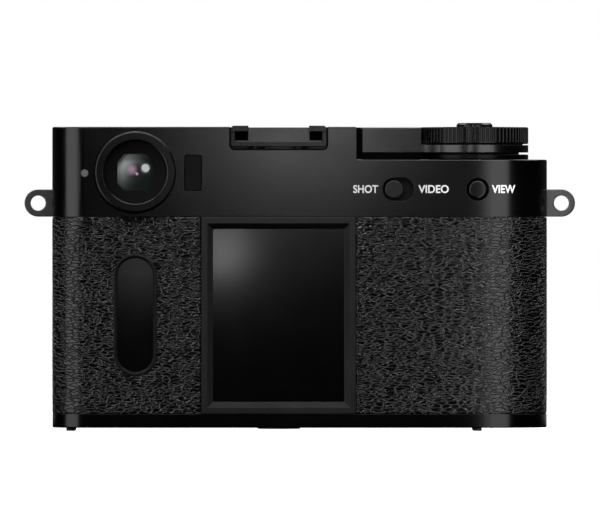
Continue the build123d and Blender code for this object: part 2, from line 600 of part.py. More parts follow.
def power_ring():
    z0, z1 = POWER_Z
    ring = rod_z(DIAL_R, z0, z1)
    ring = chamfer(ring.edges(), 0.12)
    tab = Rot(0, 0, POWER_TAB_ANGLE) * block(DIAL_R - 1, DIAL_R + 2.2, -1.8, 1.8, z0, z1)
    tab = fillet(tab.edges().filter_by(Axis.Z), 0.6)
    return on_dial(ring + tab - rod_z(POST_R + RUNNING, z0 - 1, z1 + 1))


def advance_lever():
    """Thumb lever: a ring under the dial, an arm that sweeps out of it, and an upright thumb tab."""
    z0, z1 = LEVER_Z
    ring = rod_z(DIAL_R, z0, z1)
    left, right = TAB_LEFT - DIAL_X, TAB_RIGHT - DIAL_X
    meet_x, meet_y = -DIAL_R * cos(radians(50)), -DIAL_R * sin(radians(50))
    arm = make_face([
        Line((left, TAB_REAR), (right, TAB_REAR)),
        ThreePointArc((right, TAB_REAR), ((right + meet_x) / 2, TAB_REAR - 0.12), (meet_x, meet_y)),
        Line((meet_x, meet_y), (0, 0)),
        Line((0, 0), (-DIAL_R + 0.4, 3.0)),
        ThreePointArc((-DIAL_R + 0.4, 3.0), (right - 1.6, -2.6), (left, TAB_FRONT)),
        Line((left, TAB_FRONT), (left, TAB_REAR)),
    ])
    plate = extrude(Pos(0, 0, z0) * arm, z1 - z0)
    tab = block(left, right, TAB_REAR, TAB_FRONT, z0 + 0.2, TAB_TOP)
    tab = fillet(tab.edges().filter_by(Axis.Z).group_by(Axis.X)[0], TAB_ROUND)
    tab = fillet(tab.faces().sort_by(Axis.Z)[-1].edges(), 0.25)
    corners = block(left - 1, left + TAB_ROUND, TAB_REAR - 1, TAB_FRONT + 1, z0 - 1, z1 + 1)
    nose = block(left, left + 4, TAB_REAR, TAB_FRONT, z0, z1)
    nose = fillet(nose.edges().filter_by(Axis.Z).group_by(Axis.X)[0], TAB_ROUND)
    lever = ring + (plate - corners) + nose + tab
    lever -= rod_z(DIAL_R + 0.15, z1, TAB_TOP + 1)
    lever -= rod_z(8.1, z0 - 1, z0 + 0.85) - rod_z(6.5, z0 - 1, z0 + 0.85)
    return on_dial(lever - rod_z(POST_R + RUNNING, z0 - 1, z1 + 1))


def coil(radius, wire, pitch, height, z):
    """Round-wire helical spring about Z, standing on z."""
    path = Pos(0, 0, z + wire) * Helix(pitch, height - 2 * wire, radius)
    start = path @ 0
    section = Plane(start, z_dir=path % 0) * Circle(wire)
    return sweep(section, path)


def lever_spring():
    return on_dial(coil(7.3, 0.18, 0.42, 0.75, LEVER_Z[0] + 0.03))


def shutter_spring():
    return on_dial(coil(3.3, 0.25, 1.0, 4.85, 59.05))


def comp_dial():
    z0, z1 = DIAL_Z
    dial = rod_z(DIAL_R, z0, z1)
    dial = chamfer(dial.edges(), 0.2)
    groove = rod_z(0.27, z0 + 0.55, z1 + 1) + Pos(0, 0, z0 + 0.55) * Sphere(0.27)
    dial -= around(DIAL_RIBS, groove, DIAL_R + 0.02)
    dial -= rod_z(PLATE_R, z1 - 0.75, z1 + 1)
    dial -= rod_z(8.4, 62.0, z1 + 1)
    return on_dial(dial - rod_z(POST_R + RUNNING, z0 - 1, z1 + 1))


def dial_plate():
    z1 = DIAL_Z[1]
    plate = rod_z(PLATE_R, z1 - 0.75, z1 + 0.02)
    plate -= rod_z(BUTTON_R + 0.15, 0, 70)
    return on_dial(plate)


def shutter_button():
    bottom = 63.95
    cap = turned(
        (0, bottom), (BUTTON_R, bottom), (BUTTON_R, BUTTON_TOP - 0.4), (BUTTON_R - 0.45, BUTTON_TOP),
        (2.9, BUTTON_TOP), (1.9, BUTTON_TOP - 0.3), (0, BUTTON_TOP - 0.3),
    )
    cap += rod_z(STEM_R, 53.5, bottom + 0.2)
    cap += rod_z(3.6, 53.5, 54.2)
    return on_dial(cap - rod_z(RELEASE_R, BUTTON_TOP - 0.3 - RELEASE_DEPTH, 70))


def mode_slider():
    knob = rod_y(SLIDER_R, -HALF_DEPTH - 0.35, SLIDER_FLOOR - 0.12, SLIDER_X, CONTROL_Z)
    knob = fillet(knob.edges().group_by(Axis.Y)[0], 0.25)
    stem = rod_y(0.95, SLIDER_FLOOR - 0.2, -COVER_INSIDE + 0.3, SLIDER_X, CONTROL_Z)
    rear, front = -COVER_INSIDE + 0.05, -COVER_INSIDE + 0.7
    carrier = block(SLIDER_X - 3.2, SLIDER_X + 3.2, rear, front, CONTROL_Z - 2, CONTROL_Z + 2)
    return knob + stem + carrier


def play_button():
    cap = rod_y(PLAY_R, -HALF_DEPTH - 0.3, -11.5, PLAY_X, CONTROL_Z)
    cap = fillet(cap.edges().group_by(Axis.Y)[0], 0.3)
    clip = rod_y(1.7, -COVER_INSIDE + 0.05, -COVER_INSIDE + 0.4, PLAY_X, CONTROL_Z)
    return cap + clip + rod_y(PLAY_STEM_R, -11.6, -9.4, PLAY_X, CONTROL_Z)


def control_board():
    """Circuit board behind the rear controls, with the switch that the play button presses."""
    board = block(19.0, 47.0, -8.6, -7.8, 46.4, 54.2)
    board += rod_y(1.5, -8.9, -8.5, PLAY_X, CONTROL_Z)
    return board + block(SLIDER_X - 3, SLIDER_X + 5, -9.6, -8.5, CONTROL_Z - 1.5, CONTROL_Z + 1.5)


# ---- Electronics ---------------------------------------------------------------------------------
def main_board():
    board = block(-44.0, 14.0, -5.4, -4.4, 5.2, 43.4)
    board += block(-40.0, -28.0, -4.5, -3.5, 26.0, 38.0)
    board += block(-24.0, -16.0, -4.5, -3.6, 10.0, 20.0)
    for z in (7.0, 10.5, 39.0):
        board += block(-22.0, -6.0, -4.5, -3.9, z, z + 1.6)
    return board


def image_sensor():
    """Sensor in its package, upright, on its own board."""
    board = block(-13.0, 13.0, -2.8, -2.0, LENS_Z - 14, LENS_Z + 14)
    package = block(-7.5, 7.5, -2.0, -0.6, LENS_Z - 9.5, LENS_Z + 9.5)
    return [board, package]


def battery():
    x0, x1, y0, y1, z0, z1 = BATTERY
    cell = block(x0, x1, y0, y1, z0, z1)
    return fillet(cell.edges().filter_by(Axis.Z), 1.5)


def memory_card():
    x0, x1, y0, y1, z0, z1 = CARD
    card = block(x0, x1, y0, y1, z0, z1)
    return chamfer(card.edges().filter_by(Axis.Y).group_by(Axis.Z)[-1].sort_by(Axis.X)[-1], 3.5)


# ---- Lens ----------------------------------------------------------------------------------------
def lens_flange():
    ring = turned(
        (BARREL_R, -SHELL_REAR), (FLANGE_R, -SHELL_REAR), (FLANGE_R, 13.0), (FLANGE_R - 0.9, FLANGE_FACE),
        (BARREL_R, FLANGE_FACE),
    )
    return on_lens(ring)


def lens_barrel():
    rear = 8.6
    corners = [(BARREL_IN, rear), (BARREL_R, rear), (BARREL_R, BARREL_FRONT), (BARREL_IN, BARREL_FRONT)]
    return on_lens(turned(*corners))


def ribbed_ring(size, ribs, cutter_r, sink, margin):
    """Hand ring with a knurled band."""
    radius, rear, front = size
    inner = BARREL_R + RUNNING + 0.01
    ring = turned(
        (inner, rear), (radius - 0.3, rear), (radius, rear + 0.3), (radius, front - 0.3),
        (radius - 0.3, front), (inner, front),
    )
    cutter = rod_z(cutter_r, rear + margin, front - margin)
    return on_lens(ring - around(ribs, cutter, radius + cutter_r - sink))


def aperture_ring():
    return ribbed_ring(APERTURE_RING, 72, 0.4, 0.3, 2.2)


def focus_ring():
    return ribbed_ring(FOCUS_RING, 60, 0.55, 0.4, 1.1)


def lens_nose():
    """Front of the barrel, with the filter thread inside."""
    nose = turned(
        (BARREL_R, NOSE_REAR), (NOSE_R, NOSE_REAR), (NOSE_R, 30.6), (NOSE_R - 0.8, NOSE_FACE - 0.2),
        (NOSE_R - 1.0, NOSE_FACE), (FILTER_R, NOSE_FACE), (FILTER_R, BARREL_FRONT), (BARREL_R, BARREL_FRONT),
    )
    return on_lens(nose)


def front_cell():
    """Mount of the front element, with the stepped funnel seen round it. It closes the iris."""
    rear = IRIS_ROOF + 0.05
    cell = turned(
        (STOP_R, rear), (BARREL_IN, rear), (BARREL_IN, BARREL_FRONT), (14.4, BARREL_FRONT), (14.4, 28.6),
        (12.6, 28.2), (12.6, 27.9), (10.8, 27.5), (10.8, 27.2), (8.9, 26.8),
        (8.9, 27.3), (GLASS_R + 0.05, 27.3), (GLASS_R + 0.05, 23.2), (6.9, 23.2),
    )
    return on_lens(cell)


def rear_cell():
    """Mount of the rear element, and the floor that the iris blades pivot in."""
    cell = turned(
        (GLASS_R + 0.05, 5.5), (11.0, 5.5), (11.0, 12.0), (BARREL_IN, 12.0), (BARREL_IN, IRIS_ROOF),
        (IRIS_WALL_R, IRIS_ROOF), (IRIS_WALL_R, IRIS_FLOOR), (STOP_R, IRIS_FLOOR), (STOP_R, 17.4),
        (6.9, 17.4), (6.9, 9.6), (GLASS_R + 0.05, 9.6),
    )
    holes = around(BLADES, rod_z(PIN_R + RUNNING, IRIS_FLOOR - 0.7, IRIS_FLOOR + 0.1), PIVOT_R)
    return on_lens(cell - holes)


def front_element():
    return on_lens(lens_solid(GLASS_R, 24.3, 0.9, 27.1, 1.1))


def rear_element():
    return on_lens(lens_solid(GLASS_R, 5.7, -0.7, 8.9, -0.6))


def iris_blade(index):
    """Crescent leaf that swings on its own pin, each leaf one layer in front of the last."""
    rear = BLADE_REAR + index * BLADE_PITCH
    front = rear + BLADE_T
    leaf = rod_z(BLADE_OUT, rear, front) - rod_z(STOP_R + 0.05, rear - 1, front + 1)
    start, middle, tip = [
        (30 * cos(radians(turn)), 30 * sin(radians(turn))) for turn in (-5, BLADE_SPAN / 2, BLADE_SPAN)
    ]
    wedge = make_face([Line((0, 0), start), ThreePointArc(start, middle, tip), Line(tip, (0, 0))])
    leaf &= extrude(Pos(0, 0, rear) * wedge, BLADE_T)
    leaf += block(BLADE_OUT - 1.5, PIVOT_R, -0.9, 0.9, rear, front)
    leaf += rod_z(0.9, rear, front, PIVOT_R)
    leaf += rod_z(PIN_R, IRIS_FLOOR - 0.6, rear + BLADE_T / 2, PIVOT_R)
    return on_lens(Rot(0, 0, 360 * index / BLADES) * leaf)


# ---- Pieces --------------------------------------------------------------------------------------
PIECES = {
    "top_cover": top_cover,
    "body_shell": body_shell,
    "base_plate": base_plate,
    "chassis_frame": chassis_frame,
    "leather_left": lambda: leather("left"),
    "leather_right": lambda: leather("right"),
    "case_screws": case_screws,
    "base_feet": base_feet,
    "tripod_bush": tripod_bush,
    "strap_lugs": strap_lugs,
    "battery_door": battery_door,
    "door_latch": door_latch,
    "port_door": port_door,
    "usb_socket": usb_socket,
    "screen_bezel": screen_bezel,
    "screen_glass": screen_glass,
    "screen_panel": screen_panel,
    "sub_screen_bezel": sub_screen_bezel,
    "sub_screen_glass": sub_screen_glass,
    "sub_screen_panel": sub_screen_panel,
    "eyepiece_ring": eyepiece_ring,
    "eyepiece_lens": eyepiece_lens,
    "viewfinder_tube": viewfinder_tube,
    "viewfinder_window": viewfinder_window,
    "status_window": status_window,
    "indicator_lamp": indicator_lamp,
    "flash_window": flash_window,
    "assist_lamp": assist_lamp,
    "accessory_shoe": accessory_shoe,
    "shoe_spring": shoe_spring,
    "dial_post": dial_post,
    "dial_washers": dial_washers,
    "power_ring": power_ring,
    "advance_lever": advance_lever,
    "lever_spring": lever_spring,
    "shutter_spring": shutter_spring,
    "comp_dial": comp_dial,
    "dial_plate": dial_plate,
    "shutter_button": shutter_button,
    "mode_slider": mode_slider,
    "play_button": play_button,
    "control_board": control_board,
    "main_board": main_board,
    "image_sensor": image_sensor,
    "battery": battery,
    "memory_card": memory_card,
    "lens_flange": lens_flange,
    "lens_barrel": lens_barrel,
    "aperture_ring": aperture_ring,
    "focus_ring": focus_ring,
    "lens_nose": lens_nose,
    "front_cell": front_cell,
    "rear_cell": rear_cell,
    "front_element": front_element,
    "rear_element": rear_element,
}
for number in range(BLADES):
    PIECES[f"iris_blade_{number + 1}"] = lambda n=number: iris_blade(n)

os.makedirs("parts", exist_ok=True)
for name, make in PIECES.items():
    made = make()
    solids = made if isinstance(made, list) else [made]
    export_step(Compound(children=[s for part in solids for s in part.solids()]), f"parts/{name}.step")
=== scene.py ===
"""Looks of the pocket camera: grained leather, lettering, materials, light and camera.

Everything is in metres, in the CAD frame: +X right as seen from behind, +Y along the lens axis, +Z up.
Places come from the boxes of the CAD nodes. Sizes of fine detail are in millimetres, times MM.
"""

import math

import bpy
import numpy as np
from mathutils import Matrix, Vector


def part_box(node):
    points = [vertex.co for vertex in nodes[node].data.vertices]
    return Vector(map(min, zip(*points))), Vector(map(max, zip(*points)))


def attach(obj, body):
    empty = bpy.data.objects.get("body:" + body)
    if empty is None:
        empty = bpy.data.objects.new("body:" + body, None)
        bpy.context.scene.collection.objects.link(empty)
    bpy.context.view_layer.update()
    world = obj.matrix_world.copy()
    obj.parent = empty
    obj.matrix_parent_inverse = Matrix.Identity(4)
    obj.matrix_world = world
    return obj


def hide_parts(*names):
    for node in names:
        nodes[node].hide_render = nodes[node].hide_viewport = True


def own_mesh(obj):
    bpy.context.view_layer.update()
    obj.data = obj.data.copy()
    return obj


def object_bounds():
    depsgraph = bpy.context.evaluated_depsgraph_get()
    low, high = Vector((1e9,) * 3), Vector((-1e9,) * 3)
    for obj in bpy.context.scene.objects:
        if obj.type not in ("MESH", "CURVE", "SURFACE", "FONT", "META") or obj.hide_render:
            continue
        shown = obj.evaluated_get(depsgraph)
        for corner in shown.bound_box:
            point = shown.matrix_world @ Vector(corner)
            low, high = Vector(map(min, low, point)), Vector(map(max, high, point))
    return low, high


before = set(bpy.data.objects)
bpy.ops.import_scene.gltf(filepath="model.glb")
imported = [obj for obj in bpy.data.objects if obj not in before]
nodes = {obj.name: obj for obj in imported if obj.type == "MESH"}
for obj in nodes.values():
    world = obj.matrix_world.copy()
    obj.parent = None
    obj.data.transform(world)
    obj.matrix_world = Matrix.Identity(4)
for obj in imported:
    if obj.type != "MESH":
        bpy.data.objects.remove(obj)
cad_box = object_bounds()

MM = 0.001
WHITE_PRINT = (0.95, 0.95, 0.94)


# ---- Places taken from the frame --------------------------------------------------------
def centre(node):
    low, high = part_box(node)
    return (low + high) / 2


COVER_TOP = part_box("top_cover")[1].z
BASE_LOW, BASE_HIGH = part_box("base_plate")
HALF_DEPTH = BASE_HIGH.y
RIGHT_RADIUS = HALF_DEPTH
LEFT_RADIUS = 7 * MM
BODY_LEFT, BODY_RIGHT = BASE_LOW.x, BASE_HIGH.x
LENS = centre("lens_nose")
FLOOR_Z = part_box("base_feet")[0].z
DIAL = centre("comp_dial")
DIAL_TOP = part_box("dial_plate")[1].z


# ---- Shader helpers ---------------------------------------------------------------------
class Surface:
    """A Principled material with short calls for the nodes that feed it."""

    def __init__(self, name, **constants):
        self.material = bpy.data.materials.new(name)
        self.material.use_nodes = True
        self.tree = self.material.node_tree
        self.shader = self.tree.nodes["Principled BSDF"]
        self.coords = self.tree.nodes.new("ShaderNodeTexCoord").outputs["Object"]
        for socket, value in constants.items():
            self.shader.inputs[socket.replace("_", " ")].default_value = value

    def put(self, kind, inputs, **settings):
        """Adds a node. Each input is a number, a colour or another node's output."""
        node = self.tree.nodes.new(kind)
        for key, value in settings.items():
            setattr(node, key, value)
        for key, value in inputs.items():
            if isinstance(value, bpy.types.NodeSocket):
                self.tree.links.new(value, node.inputs[key])
            else:
                node.inputs[key].default_value = value
        return node

    def link(self, output, socket):
        self.tree.links.new(output, self.shader.inputs[socket])

    def stretched(self, x, y, z):
        """Object coordinates scaled on each axis."""
        return self.put("ShaderNodeMapping", {"Vector": self.coords, "Scale": (x, y, z)}).outputs[0]

    def noise(self, size_mm, detail=3.0, rough=0.55, coords=None):
        """Random field around 0.5, with features of about size_mm."""
        inputs = {"Vector": coords or self.coords, "Scale": 1 / (size_mm * MM)}
        inputs.update({"Detail": detail, "Roughness": rough})
        return self.put("ShaderNodeTexNoise", inputs).outputs["Fac"]

    def remap(self, value, low, high, to_low, to_high):
        """Straight rise or fall from to_low at low to to_high at high, and level beyond."""
        inputs = {"Value": value, "From Min": low, "From Max": high, "To Min": to_low, "To Max": to_high}
        return self.put("ShaderNodeMapRange", inputs).outputs["Result"]

    def ease(self, value, low, high, to_low, to_high):
        """The same as remap, with soft ends."""
        inputs = {"Value": value, "From Min": low, "From Max": high, "To Min": to_low, "To Max": to_high}
        return self.put("ShaderNodeMapRange", inputs, interpolation_type="SMOOTHSTEP").outputs["Result"]

    def math(self, operation, a, b=0.0):
        return self.put("ShaderNodeMath", {0: a, 1: b}, operation=operation).outputs[0]

    def axes(self, vector):
        """The x, y and z outputs of a vector."""
        return self.put("ShaderNodeSeparateXYZ", {0: vector}).outputs

    def mix(self, factor, a, b):
        """Colour between a and b."""
        node = self.tree.nodes.new("ShaderNodeMix")
        node.data_type = "RGBA"
        for socket, value in ((node.inputs[0], factor), (node.inputs[6], a), (node.inputs[7], b)):
            if isinstance(value, bpy.types.NodeSocket):
                self.tree.links.new(value, socket)
            else:
                socket.default_value = value
        return node.outputs[2]

    def edges(self, radius_mm):
        """1 on sharp edges and 0 on flat stretches."""
        round_normal = self.put("ShaderNodeBevel", {"Radius": radius_mm * MM}, samples=4).outputs[0]
        true_normal = self.put("ShaderNodeNewGeometry", {}).outputs["Normal"]
        dot = self.put("ShaderNodeVectorMath", {0: round_normal, 1: true_normal}, operation="DOT_PRODUCT")
        return self.remap(dot.outputs["Value"], 0.99, 0.75, 0.0, 1.0)

    def bump(self, height, strength, distance_mm, bevel_mm=0.0):
        inputs = {"Height": height, "Strength": strength, "Distance": distance_mm * MM}
        if bevel_mm:
            inputs["Normal"] = self.put("ShaderNodeBevel", {"Radius": bevel_mm * MM}, samples=4).outputs[0]
        self.link(self.put("ShaderNodeBump", inputs).outputs[0], "Normal")


def grey(value, alpha=1.0):
    return (value, value, value, alpha)


def coated_metal(name, tone, rough, grain_mm, grain, wear=0.5, bevel_mm=0.12, **constants):
    """Satin paint or anodising: fine grain, uneven sheen from handling, and paler worn edges."""
    s = Surface(name, **constants)
    specks = s.noise(0.35, 2)
    base = s.mix(s.remap(specks, 0.35, 0.7, 0, 1), grey(tone * 0.8), grey(tone * 1.25))
    rubbed = s.math("MULTIPLY", s.edges(bevel_mm * 1.5), s.remap(s.noise(3, 4), 0.45, 0.62, 0.0, wear))
    s.link(s.mix(rubbed, base, grey(0.05)), "Base Color")
    s.link(s.remap(s.noise(14, 4), 0.3, 0.7, rough - 0.025, rough + 0.03), "Roughness")
    s.bump(s.noise(grain_mm, 2), grain, 0.02, bevel_mm)
    return s.material


def plastic(name, tone, rough, grain_mm=0.25, grain=0.25, bevel_mm=0.08, **constants):
    """Moulded plastic with an eroded texture."""
    s = Surface(name, **constants)
    base = s.mix(s.remap(s.noise(5, 4), 0.35, 0.65, 0, 1), grey(tone * 0.85), grey(tone * 1.15))
    s.link(base, "Base Color")
    s.link(s.remap(s.noise(9, 3), 0.3, 0.7, rough - 0.04, rough + 0.05), "Roughness")
    s.bump(s.noise(grain_mm, 3), grain, 0.015, bevel_mm)
    return s.material


def eyecup_plastic(name):
    """Satin ring of the eyepiece, with a dead matt cone inside it."""
    s = Surface(name, Specular_IOR_Level=0.4)
    middle = centre("eyepiece_ring")
    parts = s.axes(s.coords)
    away = [s.math("POWER", s.math("SUBTRACT", parts[axis], middle[axis]), 2.0) for axis in (0, 2)]
    radius = s.math("SQRT", s.math("ADD", *away))
    cone_edge = 6.55 * MM
    face = s.remap(radius, cone_edge, cone_edge + 0.15 * MM, 0, 1)
    s.link(s.mix(s.noise(5, 4), grey(0.0006), grey(0.0014)), "Base Color")
    uneven = s.remap(s.noise(6, 3), 0.3, 0.7, -0.02, 0.03)
    s.link(s.math("ADD", s.remap(face, 0, 1, 0.9, 0.27), uneven), "Roughness")
    s.bump(s.noise(0.2, 3), 0.1, 0.015, 0.05)
    return s.material


def turned_metal(name, colour, rough, stretch=(1, 1, 1)):
    """Bare metal with fine turning or brushing marks along one axis."""
    s = Surface(name, Metallic=1.0)
    lines = s.noise(0.12, 2, coords=s.stretched(*stretch))
    dark = [c * 0.72 for c in colour]
    s.link(s.mix(s.remap(s.noise(2.5, 4), 0.3, 0.7, 0, 1), (*dark, 1), (*colour, 1)), "Base Color")
    s.link(s.remap(lines, 0.3, 0.7, rough - 0.06, rough + 0.1), "Roughness")
    s.bump(lines, 0.25, 0.01, 0.06)
    return s.material


def screen_face(name, node, margin_mm, tone, rough):
    """Switched-off display: a black mask round a slightly paler active area, with faint finger grease."""
    low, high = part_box(node)
    middle, half = (low + high) / 2, (high - low) / 2
    s = Surface(name)
    parts = s.axes(s.coords)
    inside = None
    for axis, reach in ((0, half.x), (2, half.z)):
        away = s.math("ABSOLUTE", s.math("SUBTRACT", parts[axis], middle[axis]))
        edge = reach - margin_mm * MM
        near = s.remap(away, edge - 0.15 * MM, edge + 0.15 * MM, 1, 0)
        inside = near if inside is None else s.math("MULTIPLY", inside, near)
    s.link(s.mix(inside, grey(tone * 0.5), (tone, tone * 1.03, tone * 1.15, 1)), "Base Color")
    s.link(s.remap(s.noise(7, 5, 0.6), 0.35, 0.75, rough - 0.01, rough + 0.02), "Roughness")
    s.bump(s.noise(25, 1), 0.03, 0.02)
    return s.material


def optical_glass(name, tint, film_nm, clear):
    """Coated lens glass. The coating is a thin film, and a trace of dust roughens it."""
    s = Surface(name, Transmission_Weight=clear, IOR=1.62, Thin_Film_Thickness=film_nm, Thin_Film_IOR=1.38)
    dust = s.remap(s.noise(0.6, 6, 0.7), 0.66, 0.8, 0.0, 1.0)
    s.link(s.mix(dust, (*tint, 1), grey(0.4)), "Base Color")
    s.link(s.remap(dust, 0, 1, 0.02, 0.12), "Roughness")
    return s.material


def coated_window(name):
    """Dark window of an optical finder with a faint blue coating."""
    s = Surface(name, IOR=1.6)
    haze = s.noise(4, 4)
    s.link(s.mix(haze, (0.01, 0.014, 0.02, 1), (0.03, 0.034, 0.05, 1)), "Base Color")
    s.link(s.remap(haze, 0.3, 0.7, 0.05, 0.12), "Roughness")
    return s.material


def eyepiece_glass(name, node):
    """Front face of the eyepiece: dark green coating with painted light on it: a glow that grows paler
    towards the upper left, and a violet reflection and a small bright glint over a darker patch near the
    middle.
    """
    s = Surface(name, IOR=1.75)
    offset = s.put("ShaderNodeVectorMath", {0: s.coords, 1: centre(node)}, operation="SUBTRACT").outputs[0]
    parts = s.axes(offset)
    slope = s.math("SUBTRACT", s.math("MULTIPLY", parts[2], 0.7), parts[0])

    def spot(x_mm, z_mm, inner_mm, outer_mm):
        """1 within inner_mm of a place on the glass, fading to 0 at outer_mm."""
        from_x = s.math("SUBTRACT", parts[0], x_mm * MM)
        from_z = s.math("SUBTRACT", parts[2], z_mm * MM)
        away = s.math("SQRT", s.math("ADD", s.math("POWER", from_x, 2.0), s.math("POWER", from_z, 2.0)))
        return s.ease(away, inner_mm * MM, outer_mm * MM, 1, 0)

    haze = s.noise(1.5, 3)
    # Painted highlight: the colour grows paler towards the upper left, up to nearly white.
    glow = s.math("POWER", s.remap(slope, -4.5 * MM, 4.8 * MM, 0, 1), 4.0)
    glass = s.mix(glow, (0.014, 0.021, 0.018, 1), (0.86, 0.95, 0.9, 1))
    glass = s.mix(s.math("MULTIPLY", haze, 0.2), glass, (0.02, 0.03, 0.027, 1))
    # Painted spots: a darker patch near the middle, then a violet reflection and a small bright glint.
    glass = s.mix(spot(0.1, 0.3, 0.3, 2.4), glass, (0.035, 0.022, 0.032, 1))
    glass = s.mix(spot(-0.9, 0.6, 0.1, 1.7), glass, (0.42, 0.3, 0.38, 1))
    glass = s.mix(spot(0.32, -0.36, 0.05, 0.45), glass, (0.6, 0.5, 0.58, 1))
    s.link(glass, "Base Color")
    s.link(s.remap(s.noise(3, 3), 0.3, 0.7, 0.04, 0.1), "Roughness")
    return s.material


def frosted(name, colour, rough):
    """Milky lamp lens with moulded ripples."""
    s = Surface(name, IOR=1.49)
    s.link(s.mix(s.noise(0.8, 3), (*[c * 0.8 for c in colour], 1), (*colour, 1)), "Base Color")
    s.link(s.remap(s.noise(2, 3), 0.3, 0.7, rough, rough + 0.1), "Roughness")
    s.bump(s.noise(0.5, 2), 0.15, 0.02, 0.05)
    return s.material


def fresnel_window(name, node):
    """Flash window: pressed ridges under clear plastic, over a pale reflector."""
    low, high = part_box(node)
    s = Surface(name, IOR=1.49, Coat_Weight=1.0, Coat_Roughness=0.03)
    parts = s.axes(s.coords)
    wave = {"Vector": s.coords, "Scale": 1 / (3.2 * MM)}
    ridges = s.put("ShaderNodeTexWave", wave, bands_direction="Z").outputs[1]
    height = s.remap(parts[2], low.z, high.z, 0, 1)
    arch = s.math("MULTIPLY", height, s.math("SUBTRACT", 1.0, height))
    # Painted shade on the reflector: paler across the middle, darker towards the top and bottom.
    shade = s.mix(s.remap(arch, 0.0, 0.25, 0, 1), grey(0.16), grey(0.42))
    s.link(s.mix(s.remap(ridges, 0, 1, 0, 0.35), shade, grey(0.1)), "Base Color")
    s.link(s.remap(ridges, 0, 1, 0.2, 0.4), "Roughness")
    s.bump(ridges, 0.5, 0.05)
    return s.material


def leather_material():
    """Leatherette: shallow pebbles, wider than they are tall, parted by a net of fine creases, which are
    painted darker as shade.
    """
    s = Surface("leather", IOR=1.52)
    along = s.put("ShaderNodeAttribute", {}, attribute_name="along").outputs["Vector"]
    patches = {"Vector": along, "Scale": 1 / (2.6 * MM), "Detail": 2.0}
    sway = s.put("ShaderNodeTexNoise", patches).outputs["Color"]
    shift = s.put("ShaderNodeVectorMath", {0: sway, 1: (0.5, 0.5, 0.5)}, operation="SUBTRACT").outputs[0]
    most = (1.4 * MM, 0.7 * MM, 0)
    shift = s.put("ShaderNodeVectorMath", {0: shift, 1: most}, operation="MULTIPLY").outputs[0]
    swayed = s.put("ShaderNodeVectorMath", {0: along, 1: shift}, operation="ADD").outputs[0]

    def creases(wide_mm, tall_mm, reach):
        """0 in the creases between cells of this size and 1 on the cells.

        reach is the width of a crease's slope, as a share of the cell.
        """
        scale = (1 / (wide_mm * MM), 1 / (tall_mm * MM), 1.0)
        place = s.put("ShaderNodeMapping", {"Vector": swayed, "Scale": scale}).outputs[0]
        cells = s.put(
            "ShaderNodeTexVoronoi",
            {"Vector": place, "Scale": 1.0},
            voronoi_dimensions="2D",
            feature="DISTANCE_TO_EDGE",
        )
        return s.ease(cells.outputs["Distance"], 0.0, reach, 0.0, 1.0)

    fold = s.put("ShaderNodeAttribute", {}, attribute_name="grain").outputs["Fac"]
    large = creases(2.1, 0.7, 0.16)
    small = creases(1.7, 0.56, 0.15)
    shallow = s.remap(s.noise(3, 2), 0.4, 0.6, 0.15, 0.6)
    small = s.math("SUBTRACT", 1.0, s.math("MULTIPLY", s.math("SUBTRACT", 1.0, small), shallow))
    net = s.math("MULTIPLY", large, small)
    worn = s.noise(11, 4)
    # Painted shade: the creases, and the hollows of the mesh's grain, are coloured darker than the pebbles.
    crease = s.mix(s.noise(1.2, 3), grey(0.0004), grey(0.001))
    pebble = s.mix(worn, grey(0.001), grey(0.0025))
    s.link(s.mix(s.math("MULTIPLY", net, s.remap(fold, 0.1, 0.5, 0.5, 1)), crease, pebble), "Base Color")
    uneven = s.remap(worn, 0.3, 0.7, -0.03, 0.03)
    s.link(s.math("ADD", s.remap(net, 0.0, 0.8, 0.4, 0.17), uneven), "Roughness")
    pores = s.math("MULTIPLY", s.noise(0.25, 2), 0.03)
    s.bump(s.math("ADD", net, pores), 1.0, 0.12)
    return s.material


def printed(name, colour):
    """Filled or printed lettering, slightly uneven."""
    s = Surface(name)
    s.link(s.mix(s.noise(0.4, 3), (*[c * 0.93 for c in colour], 1), (*colour, 1)), "Base Color")
    s.link(s.remap(s.noise(0.8, 2), 0.3, 0.7, 0.5, 0.62), "Roughness")
    s.bump(s.noise(0.15, 2), 0.1, 0.01)
    return s.material


def circuit(name):
    """Solder mask with copper tracks under it."""
    s = Surface(name, Coat_Weight=0.4, Coat_Roughness=0.2)
    tracks = s.put(
        "ShaderNodeTexBrick",
        {"Vector": s.coords, "Scale": 1 / (9 * MM), "Mortar Size": 0.012},
    ).outputs["Fac"]
    s.link(s.mix(tracks, (0.012, 0.075, 0.035, 1), (0.03, 0.16, 0.07, 1)), "Base Color")
    s.link(s.remap(s.noise(3, 3), 0.3, 0.7, 0.35, 0.5), "Roughness")
    s.bump(tracks, 0.3, 0.03)
    return s.material


# ---- Grain of the leather ------------------------------------------------------------------
GRAIN_PROUD_MM = 0.01
GRAIN_DEPTH_MM = 0.05
ROLL_WIDE_MM, ROLL_DEEP_MM = 0.35, 0.14
RIM_DEEP_MM = 0.25
BEZEL_GAP = 0.05 * MM
REAR_PITCH, FRONT_PITCH = 0.17 * MM, 0.42 * MM
RIGHT_START_MM = 500


def random_at(i, j, seed):
    """Repeatable random numbers from 0 to 1 at whole-number places."""
    n = (i.astype(np.int64) * 374761393 + j.astype(np.int64) * 668265263 + seed * 974634777) & 0xFFFFFFFF
    n = ((n ^ (n >> 13)) * 1274126177) & 0xFFFFFFFF
    return ((n ^ (n >> 16)) & 0xFFFFFF) / float(0x1000000)


def smooth_noise(x, y, seed):
    """Smooth random field with a wavelength of about 1."""
    i, j = np.floor(x), np.floor(y)
    u, v = x - i, y - j
    u, v = u * u * (3 - 2 * u), v * v * (3 - 2 * v)
    low = random_at(i, j, seed) * (1 - u) + random_at(i + 1, j, seed) * u
    high = random_at(i, j + 1, seed) * (1 - u) + random_at(i + 1, j + 1, seed) * u
    return low * (1 - v) + high * v


